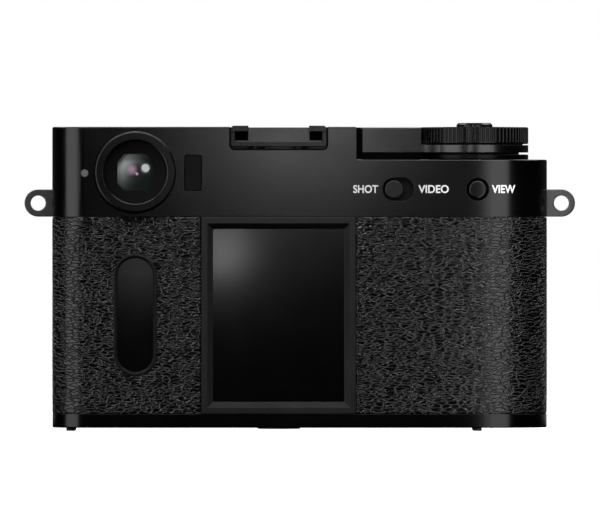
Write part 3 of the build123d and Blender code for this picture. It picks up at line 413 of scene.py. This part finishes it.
def cell_edges(x, y, seed):
    """Distance to the nearest border of irregular cells about 1 across."""
    i, j = np.floor(x), np.floor(y)
    first, second = np.full(x.shape, 9.0), np.full(x.shape, 9.0)
    for di in (-1, 0, 1):
        for dj in (-1, 0, 1):
            px = i + di + random_at(i + di, j + dj, seed)
            py = j + dj + random_at(i + di, j + dj, seed + 1)
            away = np.hypot(x - px, y - py)
            second = np.minimum(second, np.maximum(first, away))
            first = np.minimum(first, away)
    return second - first


def leather_height(u, z):
    """Height of the grain from 0 to 1 at a place along and up the covering, in millimetres.

    Flat-topped pebbles, wider than they are tall, are parted by narrow creases.
    """

    def sway(most, wide, tall, seed):
        return most * (smooth_noise(u / wide, z / tall, seed) - 0.5)

    slow = smooth_noise(u / 7, z / 5, 5)
    wu = u + sway(1.5, 2.3, 1.5, 11) + sway(0.6, 0.9, 0.7, 12)
    wz = z + sway(1.0, 2.6, 1.7, 21) + sway(0.4, 0.8, 0.6, 22)
    large = np.exp(-(cell_edges(wu / 3.4, wz / 1.5, 31) / 0.14) ** 2)
    small = np.exp(-(cell_edges(wu / 1.7, wz / 0.8, 41) / 0.2) ** 2)
    swell = smooth_noise(wu / 1.6, wz / 0.8, 51)
    fade = np.clip(2.2 * slow - 0.25, 0, 1)
    return np.clip(1 - 0.8 * np.maximum(large, 0.8 * small * fade) - 0.08 * (1 - swell), 0, 1)


def steps(breaks, pitches):
    """Evenly spaced values from break to break, each stretch at its own pitch."""
    found = []
    for start, end, pitch in zip(breaks, breaks[1:], pitches):
        count = max(1, round((end - start) / pitch))
        found += [start + (end - start) * k / count for k in range(count)]
    return np.array(found + [breaks[-1]])


def perimeter(corner, end_x, way, rear_x, front_x):
    """Function from a length along the covering to a point and outward normal.

    It starts at rear_x on the rear face, goes round the end at end_x and comes back to front_x on the front.
    """
    flat_rear = abs(end_x - way * corner - rear_x)
    quarter = corner * math.pi / 2
    flat_end = 2 * (HALF_DEPTH - corner)
    marks = np.cumsum([0, flat_rear, quarter, flat_end, quarter, abs(end_x - way * corner - front_x)])

    def place(s):
        s = np.asarray(s, float)
        cx = end_x - way * corner
        turn = np.clip(s - marks[1], 0, quarter) / corner + np.clip(s - marks[3], 0, quarter) / corner
        nx, ny = way * np.sin(turn), -np.cos(turn)
        cy = -HALF_DEPTH + corner + np.clip(s - marks[2], 0, flat_end)
        x = cx + corner * nx
        x = np.where(s < marks[1], rear_x + way * s, x)
        x = np.where(s > marks[4], end_x - way * corner - way * (s - marks[4]), x)
        return x, cy + corner * ny, nx, ny

    return place, marks


def covering_grid(marks, low_z, high_z, cuts, end_pitch):
    """Length along the covering and height of each point of its mesh, with points on the cuts' edges."""
    u_breaks, v_breaks = [0, marks[1]], [low_z, high_z]
    for u0, u1, z0, z1 in cuts:
        u_breaks += [u0, u1]
        v_breaks = [low_z, z0, z1, high_z]
    u_breaks += [marks[4], marks[5]]
    u = steps(u_breaks, [REAR_PITCH] + [end_pitch] * (len(u_breaks) - 3) + [FRONT_PITCH])
    v = steps(v_breaks, [REAR_PITCH] * len(v_breaks))
    return np.meshgrid(u, v, indexing="ij")


def edge_distance(uu, vv, end_u, low_z, high_z, cuts):
    """Distance from each point to the nearest edge of the covering or of a cut."""
    border = np.minimum.reduce([uu, end_u - uu, vv - low_z, high_z - vv])
    for u0, u1, z0, z1 in cuts:
        outside = np.maximum(np.maximum(u0 - uu, uu - u1), np.maximum(z0 - vv, vv - z1))
        border = np.minimum(border, np.maximum(outside, 0))
    return border


def leather_skin(node, way, holes, windows, end_pitch):
    """Grained covering of the left end, way -1, or the right end, way 1.

    holes(x, y, z) is true where something covers it. windows are straight cut-outs in the end, each with its
    low and high y and its low and high z. end_pitch is the mesh's step round the end.
    """
    low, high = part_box(node)
    corner = LEFT_RADIUS if way < 0 else RIGHT_RADIUS
    end_x = BODY_LEFT if way < 0 else BODY_RIGHT
    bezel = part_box("screen_bezel")
    rear_x = bezel[0].x - BEZEL_GAP if way < 0 else bezel[1].x + BEZEL_GAP
    front_x = high.x if way < 0 else low.x
    place, marks = perimeter(corner, end_x, way, rear_x, front_x)
    middle = (marks[2] + marks[3]) / 2
    cuts = [(middle + y0, middle + y1, z0, z1) for y0, y1, z0, z1 in windows]
    uu, vv = covering_grid(marks, low.z, high.z, cuts, end_pitch)
    start_mm = RIGHT_START_MM if way > 0 else 0
    grain = leather_height(uu / MM + start_mm, vv / MM)
    border = edge_distance(uu, vv, marks[5], low.z, high.z, cuts)
    roll = np.clip(border / (ROLL_WIDE_MM * MM), 0, 1)
    depth = (GRAIN_PROUD_MM - GRAIN_DEPTH_MM + GRAIN_DEPTH_MM * grain) * MM
    depth = depth - ROLL_DEEP_MM * MM * (1 - roll) ** 2
    x, y, nx, ny = place(uu)
    points = np.stack([x + nx * depth, y + ny * depth, vv], -1)
    mid_u, mid_v = (uu[:-1, :-1] + uu[1:, 1:]) / 2, (vv[:-1, :-1] + vv[1:, 1:]) / 2
    mx, my, _, _ = place(mid_u)
    gone = holes(mx, my, mid_v)
    for u0, u1, z0, z1 in cuts:
        gone |= (mid_u > u0) & (mid_u < u1) & (mid_v > z0) & (mid_v < z1)
    along = np.stack([uu + start_mm * MM, vv, 0 * uu], -1)
    return grid_mesh(node + "_grain", points, (nx, ny), grain, along, gone, flip=way > 0)


def add_attribute(mesh, name, kind, field, values):
    """Values on the vertices of a mesh, for its material."""
    attribute = mesh.attributes.new(name, kind, "POINT")
    attribute.data.foreach_set(field, values.astype(np.float32).ravel())


def loose_edges(faces):
    """Edges that only one face has, in that face's direction."""
    sides = np.stack([faces, np.roll(faces, -1, axis=1)], -1).reshape(-1, 2)
    keys = np.sort(sides, axis=1)
    _, first, counts = np.unique(keys, axis=0, return_index=True, return_counts=True)
    return sides[first[counts == 1]]


def grid_mesh(name, points, normals, grain, along, gone, flip):
    """Mesh of a grid of points without the cells that are gone, and with its borders turned inwards.

    It carries the height of the grain and the place along and up the covering for its material.
    """
    rows, columns = points.shape[:2]
    index = np.arange(rows * columns).reshape(rows, columns)
    keep = ~gone
    quads = np.stack([index[:-1, :-1], index[1:, :-1], index[1:, 1:], index[:-1, 1:]], -1)[keep]
    if flip:
        quads = quads[:, ::-1]
    loose = loose_edges(quads)
    ring = np.unique(loose)
    nx, ny = normals
    inward = np.stack([-nx.ravel()[ring], -ny.ravel()[ring], np.zeros(len(ring))], -1) * RIM_DEEP_MM * MM
    flat = points.reshape(-1, 3)
    turned_in = {vertex: len(flat) + k for k, vertex in enumerate(ring)}
    walls = np.array([[b, a, turned_in[a], turned_in[b]] for a, b in loose])
    every = np.concatenate([flat, flat[ring] + inward])
    faces = np.concatenate([quads, walls])
    used = np.unique(faces)
    renumber = np.zeros(len(every), int)
    renumber[used] = np.arange(len(used))
    mesh = bpy.data.meshes.new(name)
    mesh.from_pydata(every[used].tolist(), [], renumber[faces].tolist())
    level = np.concatenate([grain.ravel(), np.zeros(len(ring))])[used]
    add_attribute(mesh, "grain", "FLOAT", "value", level)
    flat_along = along.reshape(-1, 3)
    spread = np.concatenate([flat_along, flat_along[ring]])[used]
    add_attribute(mesh, "along", "FLOAT_VECTOR", "vector", spread)
    mesh.shade_smooth()
    piece = bpy.data.objects.new(name, mesh)
    bpy.context.scene.collection.objects.link(piece)
    return piece


# ---- Lettering and marks ---------------------------------------------------------------------
PRINT_THICK_MM = 0.012
PRINT_GAP = 0.004 * MM


def text_mesh(name, words, height_mm, width_mm=None, bold_mm=0.055):
    """Flat letters in the XY plane, height_mm tall, starting at the origin, with a little thickness."""
    curve = bpy.data.curves.new(name, "FONT")
    curve.body = words
    curve.size = 1.0
    curve.resolution_u = 4
    probe = bpy.data.objects.new(name, curve)
    bpy.context.scene.collection.objects.link(probe)
    bpy.context.view_layer.update()
    tall = probe.dimensions.y
    curve.offset = bold_mm * tall / height_mm
    curve.extrude = PRINT_THICK_MM * tall / height_mm
    bpy.context.view_layer.update()
    mesh = bpy.data.meshes.new_from_object(probe.evaluated_get(bpy.context.evaluated_depsgraph_get()))
    bpy.data.objects.remove(probe)
    scale = height_mm * MM / tall
    mesh.transform(Matrix.Scale(scale, 4))
    low_x = min(v.co.x for v in mesh.vertices)
    low_y = min(v.co.y for v in mesh.vertices)
    mesh.transform(Matrix.Translation((-low_x, -low_y, 0)))
    if width_mm:
        mesh.transform(Matrix.Diagonal((width_mm * MM / mesh_width(mesh), 1, 1, 1)))
    return mesh


def mesh_width(mesh):
    return max(v.co.x for v in mesh.vertices)


def add_piece(name, mesh, body, material):
    mesh.name = name
    mesh.materials.clear()
    mesh.materials.append(material)
    piece = bpy.data.objects.new(name, mesh)
    bpy.context.scene.collection.objects.link(piece)
    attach(piece, body)
    return piece


def rear_label(name, words, left_mm, base_mm, height_mm, width_mm):
    """Lettering printed on the rear of the top cover, wrapped round its half-round end."""
    mesh = text_mesh(name, words, height_mm, width_mm)
    arc_x = BODY_RIGHT - RIGHT_RADIUS
    for v in mesh.vertices:
        x, up, out = v.co.x + left_mm * MM, v.co.y, v.co.z
        bend = math.asin(min(max(x - arc_x, 0) / RIGHT_RADIUS, 1))
        y = -HALF_DEPTH * math.cos(bend) - out - PRINT_GAP
        v.co = (x, y, base_mm * MM + up)
    return add_piece(name, mesh, "root", PRINT)


def ring_label(name, words, angle, radius, rear, height_mm, body):
    """A number on a lens ring. angle is from the ring's top, towards +X, and rear is the y of its foot."""
    mesh = text_mesh(name, words, height_mm)
    half = mesh_width(mesh) / 2
    for v in mesh.vertices:
        turn = angle + (v.co.x - half) / radius
        away = radius + v.co.z + PRINT_GAP
        v.co = (LENS.x + away * math.sin(turn), rear + v.co.y, LENS.z + away * math.cos(turn))
    return add_piece(name, mesh, body, PRINT)


def dial_label(name, words, angle, radius, height_mm):
    """A number on top of the dial, upright when its angle from the rear faces the photographer."""
    mesh = text_mesh(name, words, height_mm)
    mesh.transform(Matrix.Translation((-mesh_width(mesh) / 2, -radius, PRINT_GAP)))
    mesh.transform(Matrix.Translation((DIAL.x, DIAL.y, DIAL_TOP)) @ Matrix.Rotation(angle, 4, "Z"))
    return add_piece(name, mesh, "comp_dial", PRINT)


def mark(name, size, place, body, turn=0.0):
    """Thin painted index line, lying flat with its ends rounded."""
    long, wide = size
    angles = np.linspace(0, math.pi, 7)
    curve = [Vector((math.cos(a) * wide / 2, math.sin(a) * wide / 2)) for a in angles]
    half = (long - wide) / 2
    outline = [(p.y + half, p.x) for p in curve] + [(-p.y - half, -p.x) for p in curve]
    points = [(x, y, z) for z in (0, PRINT_THICK_MM * MM) for x, y in outline]
    count = len(outline)
    faces = [list(range(count)), list(range(2 * count - 1, count - 1, -1))]
    faces += [[i, i + count, (i + 1) % count + count, (i + 1) % count] for i in range(count)]
    mesh = bpy.data.meshes.new(name)
    mesh.from_pydata(points, [], faces)
    mesh.transform(Matrix.Translation(place) @ Matrix.Rotation(turn, 4, "Z"))
    return add_piece(name, mesh, body, PRINT)


# ---- Materials on the CAD nodes -----------------------------------------------------------------
PRINT = printed("white_print", WHITE_PRINT)
PAINT = coated_metal("satin_paint", 0.0006, 0.23, 0.22, 0.08)
SHOE_PAINT = coated_metal("shoe_paint", 0.001, 0.27, 0.22, 0.08, wear=0.6, Specular_IOR_Level=0.36)
BASE_PAINT = coated_metal("base_paint", 0.0005, 0.23, 0.22, 0.08, Specular_IOR_Level=0.4)
ANODISED = coated_metal("anodised", 0.001, 0.26, 0.12, 0.08, wear=0.8, bevel_mm=0.08, IOR=1.65)
LENS_BLACK = coated_metal("lens_black", 0.003, 0.3, 0.15, 0.1, wear=0.8, bevel_mm=0.1)
INNER_BLACK = plastic("inner_black", 0.001, 0.6, Specular_IOR_Level=0.1)
# Dead black materials for the thin sheets that paint shade into recesses and gaps.
PAINTED_SHADE = plastic("matt_painted_shade", 0.0012, 0.7, Specular_IOR_Level=0.06)
CONE_PAINTED_SHADE = plastic("cone_painted_shade", 0.001, 0.6, Specular_IOR_Level=0.12)
POCKET_PAINTED_SHADE = plastic("pocket_painted_shade", 0.005, 0.6, Specular_IOR_Level=0.15)
FINE_PLASTIC = plastic("fine_plastic", 0.012, 0.38, 0.2, 0.2)
EYECUP = eyecup_plastic("eyecup")
SUB_BEZEL = plastic("sub_screen_ring", 0.003, 0.36, 0.2, 0.12)
STATUS_FACE = plastic("status_face", 0.003, 0.45, 0.2, 0.1, Specular_IOR_Level=0.2)
FINE_COAT = {"grain_mm": 0.12, "grain": 0.06, "wear": 0.1, "bevel_mm": 0.05}
DIAL_BLACK = coated_metal("dial_black", 0.0006, 0.21, **FINE_COAT, Specular_IOR_Level=0.28)
RING_BLACK = coated_metal("ring_black", 0.0006, 0.3, **FINE_COAT, Specular_IOR_Level=0.12)
GLOSS_PLASTIC = plastic("gloss_plastic", 0.002, 0.2, 0.3, 0.03)
RUBBER = plastic("rubber", 0.012, 0.7, 0.3, 0.5)
STEEL = turned_metal("steel", (0.46, 0.46, 0.47), 0.3)
LUG_STEEL = coated_metal("lug_black_steel", 0.06, 0.3, 0.15, 0.12, wear=1.0, bevel_mm=0.2)
BRASS = turned_metal("brass", (0.62, 0.46, 0.2), 0.28, (1, 1, 8))
CAST = turned_metal("cast_alloy", (0.34, 0.34, 0.35), 0.5)
SCREEN_ROUGH = 0.19

looks = {
    "top_cover": PAINT,
    "base_plate": BASE_PAINT,
    "battery_door": BASE_PAINT,
    "accessory_shoe": SHOE_PAINT,
    "shoe_spring": ANODISED,
    "body_shell": CAST,
    "chassis_frame": CAST,
    "case_screws": LUG_STEEL,
    "base_feet": RUBBER,
    "tripod_bush": LUG_STEEL,
    "strap_lugs": LUG_STEEL,
    "door_latch": FINE_PLASTIC,
    "port_door": FINE_PLASTIC,
    "usb_socket": STEEL,
    "screen_bezel": FINE_PLASTIC,
    "screen_glass": screen_face("screen_glass", "screen_glass", 1.6, 0.0004, SCREEN_ROUGH),
    "screen_panel": GLOSS_PLASTIC,
    "sub_screen_bezel": SUB_BEZEL,
    "sub_screen_glass": screen_face("sub_screen_glass", "sub_screen_glass", 1.1, 0.0004, SCREEN_ROUGH),
    "sub_screen_panel": GLOSS_PLASTIC,
    "eyepiece_ring": EYECUP,
    "eyepiece_lens": eyepiece_glass("eyepiece_glass", "eyepiece_lens"),
    "viewfinder_tube": INNER_BLACK,
    "viewfinder_window": coated_window("window_glass"),
    "status_window": STATUS_FACE,
    "indicator_lamp": frosted("indicator", (0.17, 0.17, 0.165), 0.35),
    "flash_window": fresnel_window("flash_cover", "flash_window"),
    "assist_lamp": frosted("assist", (0.75, 0.62, 0.5), 0.15),
    "dial_post": BRASS,
    "dial_washers": INNER_BLACK,
    "power_ring": RING_BLACK,
    "advance_lever": ANODISED,
    "lever_spring": STEEL,
    "shutter_spring": STEEL,
    "comp_dial": DIAL_BLACK,
    "dial_plate": ANODISED,
    "shutter_button": DIAL_BLACK,
    "mode_slider": FINE_PLASTIC,
    "play_button": GLOSS_PLASTIC,
    "control_board": circuit("control_circuit"),
    "main_board": circuit("main_circuit"),
    "image_sensor": circuit("sensor_circuit"),
    "battery": plastic("battery_wrap", 0.03, 0.4),
    "memory_card": plastic("card_case", 0.02, 0.45),
    "lens_flange": LENS_BLACK,
    "lens_barrel": LENS_BLACK,
    "aperture_ring": LENS_BLACK,
    "focus_ring": LENS_BLACK,
    "lens_nose": LENS_BLACK,
    "front_cell": INNER_BLACK,
    "rear_cell": INNER_BLACK,
    "front_element": optical_glass("front_glass", (1.0, 1.0, 1.0), 330, 1.0),
    "rear_element": optical_glass("rear_glass", (0.9, 0.95, 1.0), 420, 1.0),
}
for name, piece in nodes.items():
    piece.data.materials.clear()
    piece.data.materials.append(looks.get(name, INNER_BLACK))


# ---- Leather --------------------------------------------------------------------------------------
def round_hole(node, cover_mm):
    """Test for the circle that a node covers, a little inside its rim."""
    low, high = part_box(node)
    middle, radius = (low + high) / 2, (high.x - low.x) / 2 - cover_mm * MM

    def inside(x, y, z):
        return (y > 0) & (np.hypot(x - middle.x, z - middle.z) < radius)

    return inside


def pill_hole(node, cover_mm):
    """Test for the upright round-ended shape that a node covers, a little inside its rim."""
    low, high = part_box(node)
    middle, radius = (low + high) / 2, (high.x - low.x) / 2
    reach = (high.z - low.z) / 2 - radius

    def inside(x, y, z):
        beyond = np.maximum(np.abs(z - middle.z) - reach, 0)
        return (y < 0) & (np.hypot(x - middle.x, beyond) < radius - cover_mm * MM)

    return inside


def dress_leather():
    """Both coverings. The left one also leaves out the small screen and the socket door."""
    material = leather_material()
    flange, sub_screen = round_hole("lens_flange", 0.5), pill_hole("sub_screen_bezel", 0.35)
    door_low, door_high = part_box("port_door")
    gap = 0.1 * MM
    port_half = 4.2 * MM + gap
    window = (-port_half, port_half, door_low.z - gap, door_high.z + gap)

    def left_holes(x, y, z):
        return flange(x, y, z) | sub_screen(x, y, z)

    left = leather_skin("leather_left", -1, left_holes, [window], 0.22 * MM)
    right = leather_skin("leather_right", 1, flange, [], 0.26 * MM)
    for piece, node in ((left, "leather_left"), (right, "leather_right")):
        piece.data.materials.append(material)
        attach(piece, "root")
        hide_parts(node)


dress_leather()


# ---- Words and numbers ------------------------------------------------------------------------------
LABEL_BASE_MM, LABEL_TALL_MM = 50.1, 1.62
for words, left_mm, width_mm in (("SHOT", 15.9, 5.3), ("VIDEO", 29.8, 6.5), ("VIEW", 45.5, 5.0)):
    rear_label(f"label_{words.lower()}", words, left_mm, LABEL_BASE_MM, LABEL_TALL_MM, width_mm)
for step in range(-3, 4):
    words = "0" if step == 0 else f"{step:+d}"
    dial_label(f"dial_number_{step + 3}", words, math.radians(30 * step), 8.9 * MM, 1.5)
ring_low, ring_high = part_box("aperture_ring")
ring_radius = (ring_high.x - ring_low.x) / 2
for count, words in enumerate(("2", "2.8", "4", "5.6", "8", "11", "16")):
    turn = math.radians(12 * count - 2)
    ring_label(f"stop_number_{count}", words, turn, ring_radius, ring_low.y + 0.55 * MM, 1.3, "aperture_ring")
deck_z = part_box("power_ring")[0].z - 0.06 * MM
mark("dial_index", (1.6 * MM, 0.35 * MM), (DIAL.x + 12.8 * MM, DIAL.y, deck_z), "root")


# ---- Painted shade: thin black sheets in recesses and gaps --------------------------------------------
PAINTED_SHADE_GAP_MM, PAINTED_SHADE_THICK_MM = 0.005, 0.02
CONTROL_ROW_MM = 50.92


def painted_shade(name, middle_mm, size_mm, corner_mm, face_mm, material=PAINTED_SHADE):
    """Thin black panel that faces the rear, just proud of the face whose y is face_mm, as painted shade in a
    recess.

    middle_mm is its x and z, and size_mm its width and height.
    """
    x_mm, z_mm = middle_mm
    width_mm, height_mm = size_mm
    turns = np.radians(np.arange(0, 360, 10) + 5)
    points = []
    for turn in turns:
        side_x = math.copysign(width_mm / 2 - corner_mm, math.cos(turn))
        side_z = math.copysign(height_mm / 2 - corner_mm, math.sin(turn))
        x, z = x_mm + side_x + corner_mm * math.cos(turn), z_mm + side_z + corner_mm * math.sin(turn)
        points.append((x, z))
    count = len(points)
    proud = (PAINTED_SHADE_GAP_MM, PAINTED_SHADE_GAP_MM + PAINTED_SHADE_THICK_MM)
    corners = [(x * MM, (face_mm - gap) * MM, z * MM) for gap in proud for x, z in points]
    faces = [list(range(count))[::-1], list(range(count, 2 * count))]
    faces += [[i, (i + 1) % count, (i + 1) % count + count, i + count] for i in range(count)]
    mesh = bpy.data.meshes.new(name)
    mesh.from_pydata(corners, [], faces)
    return add_piece(name, mesh, "root", material)


def eyecup_painted_shade():
    """Thin black cone inside the eyecup, as painted shade, down to an opening with its corners cut off, in
    millimetres.
    """
    middle = centre("eyepiece_ring")
    half_wide, half_tall, rim_radius = 3.85, 3.9, 6.58
    # The cut corners run where the distances to the side and to the top add up to this.
    corner_sum = 6.25
    # The cone's depth is deep_end on its axis and cone_rise more at cone_radius.
    deep_end, cone_rise, cone_radius = 12.05, 0.85, 6.6
    turns = np.radians(np.arange(0, 360, 3))
    to_side, to_top = np.abs(np.cos(turns)), np.abs(np.sin(turns))
    across = np.maximum(np.maximum(to_side / half_wide, to_top / half_tall), (to_side + to_top) / corner_sum)
    opening, rim = 1 / across, np.full(len(turns), rim_radius)
    points = []
    for reach, proud in ((opening, 0.01), (rim, 0.01), (rim, 0.03), (opening, 0.03)):
        depth = deep_end + cone_rise * reach / cone_radius + proud
        x, z = middle.x + reach * np.cos(turns) * MM, middle.z + reach * np.sin(turns) * MM
        points += list(zip(x, -depth * MM, z))
    count = len(turns)
    faces = []
    for ring in range(4):
        for i in range(count):
            a, b = ring * count + i, ring * count + (i + 1) % count
            c, d = (a + count) % (4 * count), (b + count) % (4 * count)
            faces.append([a, b, d, c])
    mesh = bpy.data.meshes.new("eyecup_painted_shade")
    mesh.from_pydata(points, [], faces)
    return add_piece("eyecup_painted_shade", mesh, "root", CONE_PAINTED_SHADE)


def painted_shoe_shadow(name):
    """Thin black line on the rear of the cover, round the sides and the bottom of the accessory shoe, as a
    painted shadow in the gap round it.
    """
    low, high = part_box("accessory_shoe")
    corner, wide, thick = 0.7 * MM, 0.36 * MM, 0.012 * MM
    turns = np.radians(np.arange(0, 91, 15))
    left = [(low.x + corner - corner * math.cos(a), low.z + corner - corner * math.sin(a), a) for a in turns]
    path = [(low.x, COVER_TOP - 0.1 * MM, 0.0)] + left
    inner = [(x, z) for x, z, _ in path]
    outer = [(x - wide * math.cos(a), z - wide * math.sin(a)) for x, z, a in path]
    inner += [(-x, z) for x, z in reversed(inner)]
    outer += [(-x, z) for x, z in reversed(outer)]
    face = -HALF_DEPTH - 0.008 * MM
    count = len(inner)
    points = [(x, face - proud, z) for proud in (0, thick) for line in (inner, outer) for x, z in line]
    faces = []
    for i in range(count - 1):
        for a, b in ((0, count), (count, 3 * count), (3 * count, 2 * count), (2 * count, 0)):
            faces.append([a + i, a + i + 1, b + i + 1, b + i])
    for i in (0, count - 1):
        faces.append([i, i + count, i + 3 * count, i + 2 * count])
    mesh = bpy.data.meshes.new(name)
    mesh.from_pydata(points, [], faces)
    return add_piece(name, mesh, "root", PAINTED_SHADE)


# Painted shade: thin black sheets in the eyecup's cone, round the shoe, in the slide's pocket, in the play
# button's well, in the lever's recess and in the shoe's slots.
eyecup_painted_shade()
painted_shoe_shadow("painted_shoe_shadow_line")
painted_shade("slide_pocket_painted_shade", (25.54, CONTROL_ROW_MM), (6.7, 4.9), 2.45, -11.2, POCKET_PAINTED_SHADE)
painted_shade("play_well_painted_shade", (42.44, CONTROL_ROW_MM), (4.85, 4.85), 2.42, -11.05)
painted_shade("lever_recess_painted_shade", (24.7, 60.78), (16.0, 6.85), 0.1, 4.5)
for side, way in (("left", -1), ("right", 1)):
    painted_shade(f"shoe_slot_painted_shade_{side}", (way * 7.95, 62.15), (2.7, 2.2), 0.1, 5.6)


# ---- Copy of the shutter spring ---------------------------------------------------------------------
def pressed_spring(node, material):
    """Copy of a coil spring with a mesh of its own, on the root body in place of the node."""
    mesh = nodes[node].data.copy()
    piece = add_piece(node + "_coil", mesh, "root", material)
    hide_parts(node)
    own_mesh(piece)


pressed_spring("shutter_spring", material=STEEL)


# ---- Light, floor and camera --------------------------------------------------------------------------
MIDDLE = (cad_box[0] + cad_box[1]) / 2
LEFT_END = Vector((BODY_LEFT + LEFT_RADIUS, -HALF_DEPTH, MIDDLE.z))
REAR = Vector((0, -HALF_DEPTH, 0))


def softbox(name, place, target, width, height, radiance):
    """Rectangular area light that faces target and doesn't show itself. Its strength is its radiance."""
    light = bpy.data.lights.new(name, "AREA")
    light.shape = "RECTANGLE"
    light.size, light.size_y = width, height
    light.energy = radiance * math.pi * width * height
    lamp = bpy.data.objects.new(name, light)
    lamp.location = place
    lamp.rotation_euler = (Vector(target) - Vector(place)).to_track_quat("-Z", "Y").to_euler()
    lamp.visible_camera = False
    bpy.context.scene.collection.objects.link(lamp)
    return lamp


def around(target, azimuth, elevation, distance):
    """Place at an angle round target. Azimuth 0 is straight behind the camera's back, 90 is its right."""
    a, e = math.radians(azimuth), math.radians(elevation)
    way = Vector((math.sin(a) * math.cos(e), -math.cos(a) * math.cos(e), math.sin(e)))
    return Vector(target) + way * distance


def point_glint(name, x_mm, z_mm, distance_mm, size_mm, radiance, only=None):
    """Small round light behind the camera that draws a soft glow. only names the one node that it reaches."""
    target = REAR + Vector((x_mm, 0, z_mm)) * MM
    size = size_mm * MM
    lamp = softbox(name, target - Vector((0, distance_mm * MM, 0)), target, size, size, radiance)
    lamp.data.shape = "DISK"
    if only:
        faces = bpy.data.collections.new(name + "_faces")
        faces.objects.link(nodes[only])
        lamp.light_linking.receiver_collection = faces
    return lamp


# Two lights draw the pale bands down the ends. The right one stands close behind the body, so it is small.
softbox("left_strip", around(LEFT_END, -47, 0, 0.6), LEFT_END, 0.5, 0.8, 1.9)
near_strip = REAR + Vector((52.4, -15, 32)) * MM
softbox("right_strip", near_strip, near_strip + Vector((0, 1, 0)), 16.2 * MM, 100 * MM, 1.9)
softbox("overhead", around(MIDDLE, 0, 55, 0.7), MIDDLE, 0.9, 0.18, 8)
for side, azimuth in (("left", -112), ("right", 112)):
    softbox(f"side_{side}", around(MIDDLE, azimuth, 50, 0.8), MIDDLE, 0.5, 0.4, 2.5)
softbox("front_left", around(MIDDLE, 165, 48, 0.9), MIDDLE, 0.7, 0.5, 2.0)
softbox("front_right", around(MIDDLE, -165, 48, 0.9), MIDDLE, 0.7, 0.5, 1.6)
# Light that a pale table in front of the lens would throw back up.
bounce = Vector((0, 0.125, FLOOR_Z + 0.001))
softbox("front_bounce", bounce, bounce + Vector((0, 0, 1)), 0.3, 0.15, 0.8)
point_glint("key", 4, 71, 205, 30, 4.9)
point_glint("screen_glint", -12.8, 38, 88, 10, 5.7, "screen_glass")
point_glint("sub_screen_glint", -30.5, 35, 105, 12, 1.05, "sub_screen_glass")


def make_world():
    """White to the camera, and a dim grey room to everything else, brighter in front of the lens."""
    world = bpy.data.worlds.new("studio")
    bpy.context.scene.world = world
    world.use_nodes = True
    tree = world.node_tree
    tree.nodes.clear()
    add = tree.nodes.new
    seen, room, pick = add("ShaderNodeBackground"), add("ShaderNodeBackground"), add("ShaderNodeMixShader")
    path, out = add("ShaderNodeLightPath"), add("ShaderNodeOutputWorld")
    coords, split, ramp = add("ShaderNodeTexCoord"), add("ShaderNodeSeparateXYZ"), add("ShaderNodeMapRange")
    tree.links.new(coords.outputs["Generated"], split.inputs[0])
    tree.links.new(split.outputs[1], ramp.inputs["Value"])
    for socket, value in (("From Min", 0.2), ("From Max", 0.8), ("To Min", 0.001), ("To Max", 0.03)):
        ramp.inputs[socket].default_value = value
    tree.links.new(ramp.outputs["Result"], room.inputs["Strength"])
    seen.inputs["Color"].default_value = grey(1.0)
    room.inputs["Color"].default_value = grey(1.0)
    tree.links.new(path.outputs["Is Camera Ray"], pick.inputs[0])
    tree.links.new(room.outputs[0], pick.inputs[1])
    tree.links.new(seen.outputs[0], pick.inputs[2])
    tree.links.new(pick.outputs[0], out.inputs["Surface"])


def make_floor():
    """Wide pale floor that is close to white in open light."""
    mesh = bpy.data.meshes.new("floor")
    reach = 40.0
    corners = [(-reach, -reach, 0), (reach, -reach, 0), (reach, reach, 0), (-reach, reach, 0)]
    mesh.from_pydata([Vector(c) + Vector((0, 0, FLOOR_Z)) for c in corners], [], [(0, 1, 2, 3)])
    material = bpy.data.materials.new("pale_floor")
    material.use_nodes = True
    shader = material.node_tree.nodes["Principled BSDF"]
    shader.inputs["Base Color"].default_value = grey(0.85)
    shader.inputs["Roughness"].default_value = 0.9
    shader.inputs["Specular IOR Level"].default_value = 0.0
    shader.inputs["Emission Color"].default_value = grey(1.0)
    shader.inputs["Emission Strength"].default_value = 1.0
    mesh.materials.append(material)
    floor = bpy.data.objects.new("floor", mesh)
    floor.visible_glossy = False
    floor.visible_diffuse = False
    bpy.context.scene.collection.objects.link(floor)


def make_camera():
    """Long lens from straight behind, level with the middle of the frame."""
    frame_width = 128.22 * MM
    aim = Vector((4.55 * MM, -HALF_DEPTH / 2, 35.3 * MM))
    data = bpy.data.cameras.new("camera")
    data.sensor_width = 36
    data.lens = 1000
    distance = frame_width * data.lens / data.sensor_width
    data.clip_start, data.clip_end = distance * 0.1, distance * 30
    camera = bpy.data.objects.new("camera", data)
    camera.location = aim - Vector((0, distance, 0))
    camera.rotation_euler = (math.pi / 2, 0, 0)
    bpy.context.scene.collection.objects.link(camera)
    bpy.context.scene.camera = camera


make_world()
make_floor()
make_camera()
bpy.context.scene.view_settings.view_transform = "Standard"
bpy.context.scene.view_settings.look = "None"
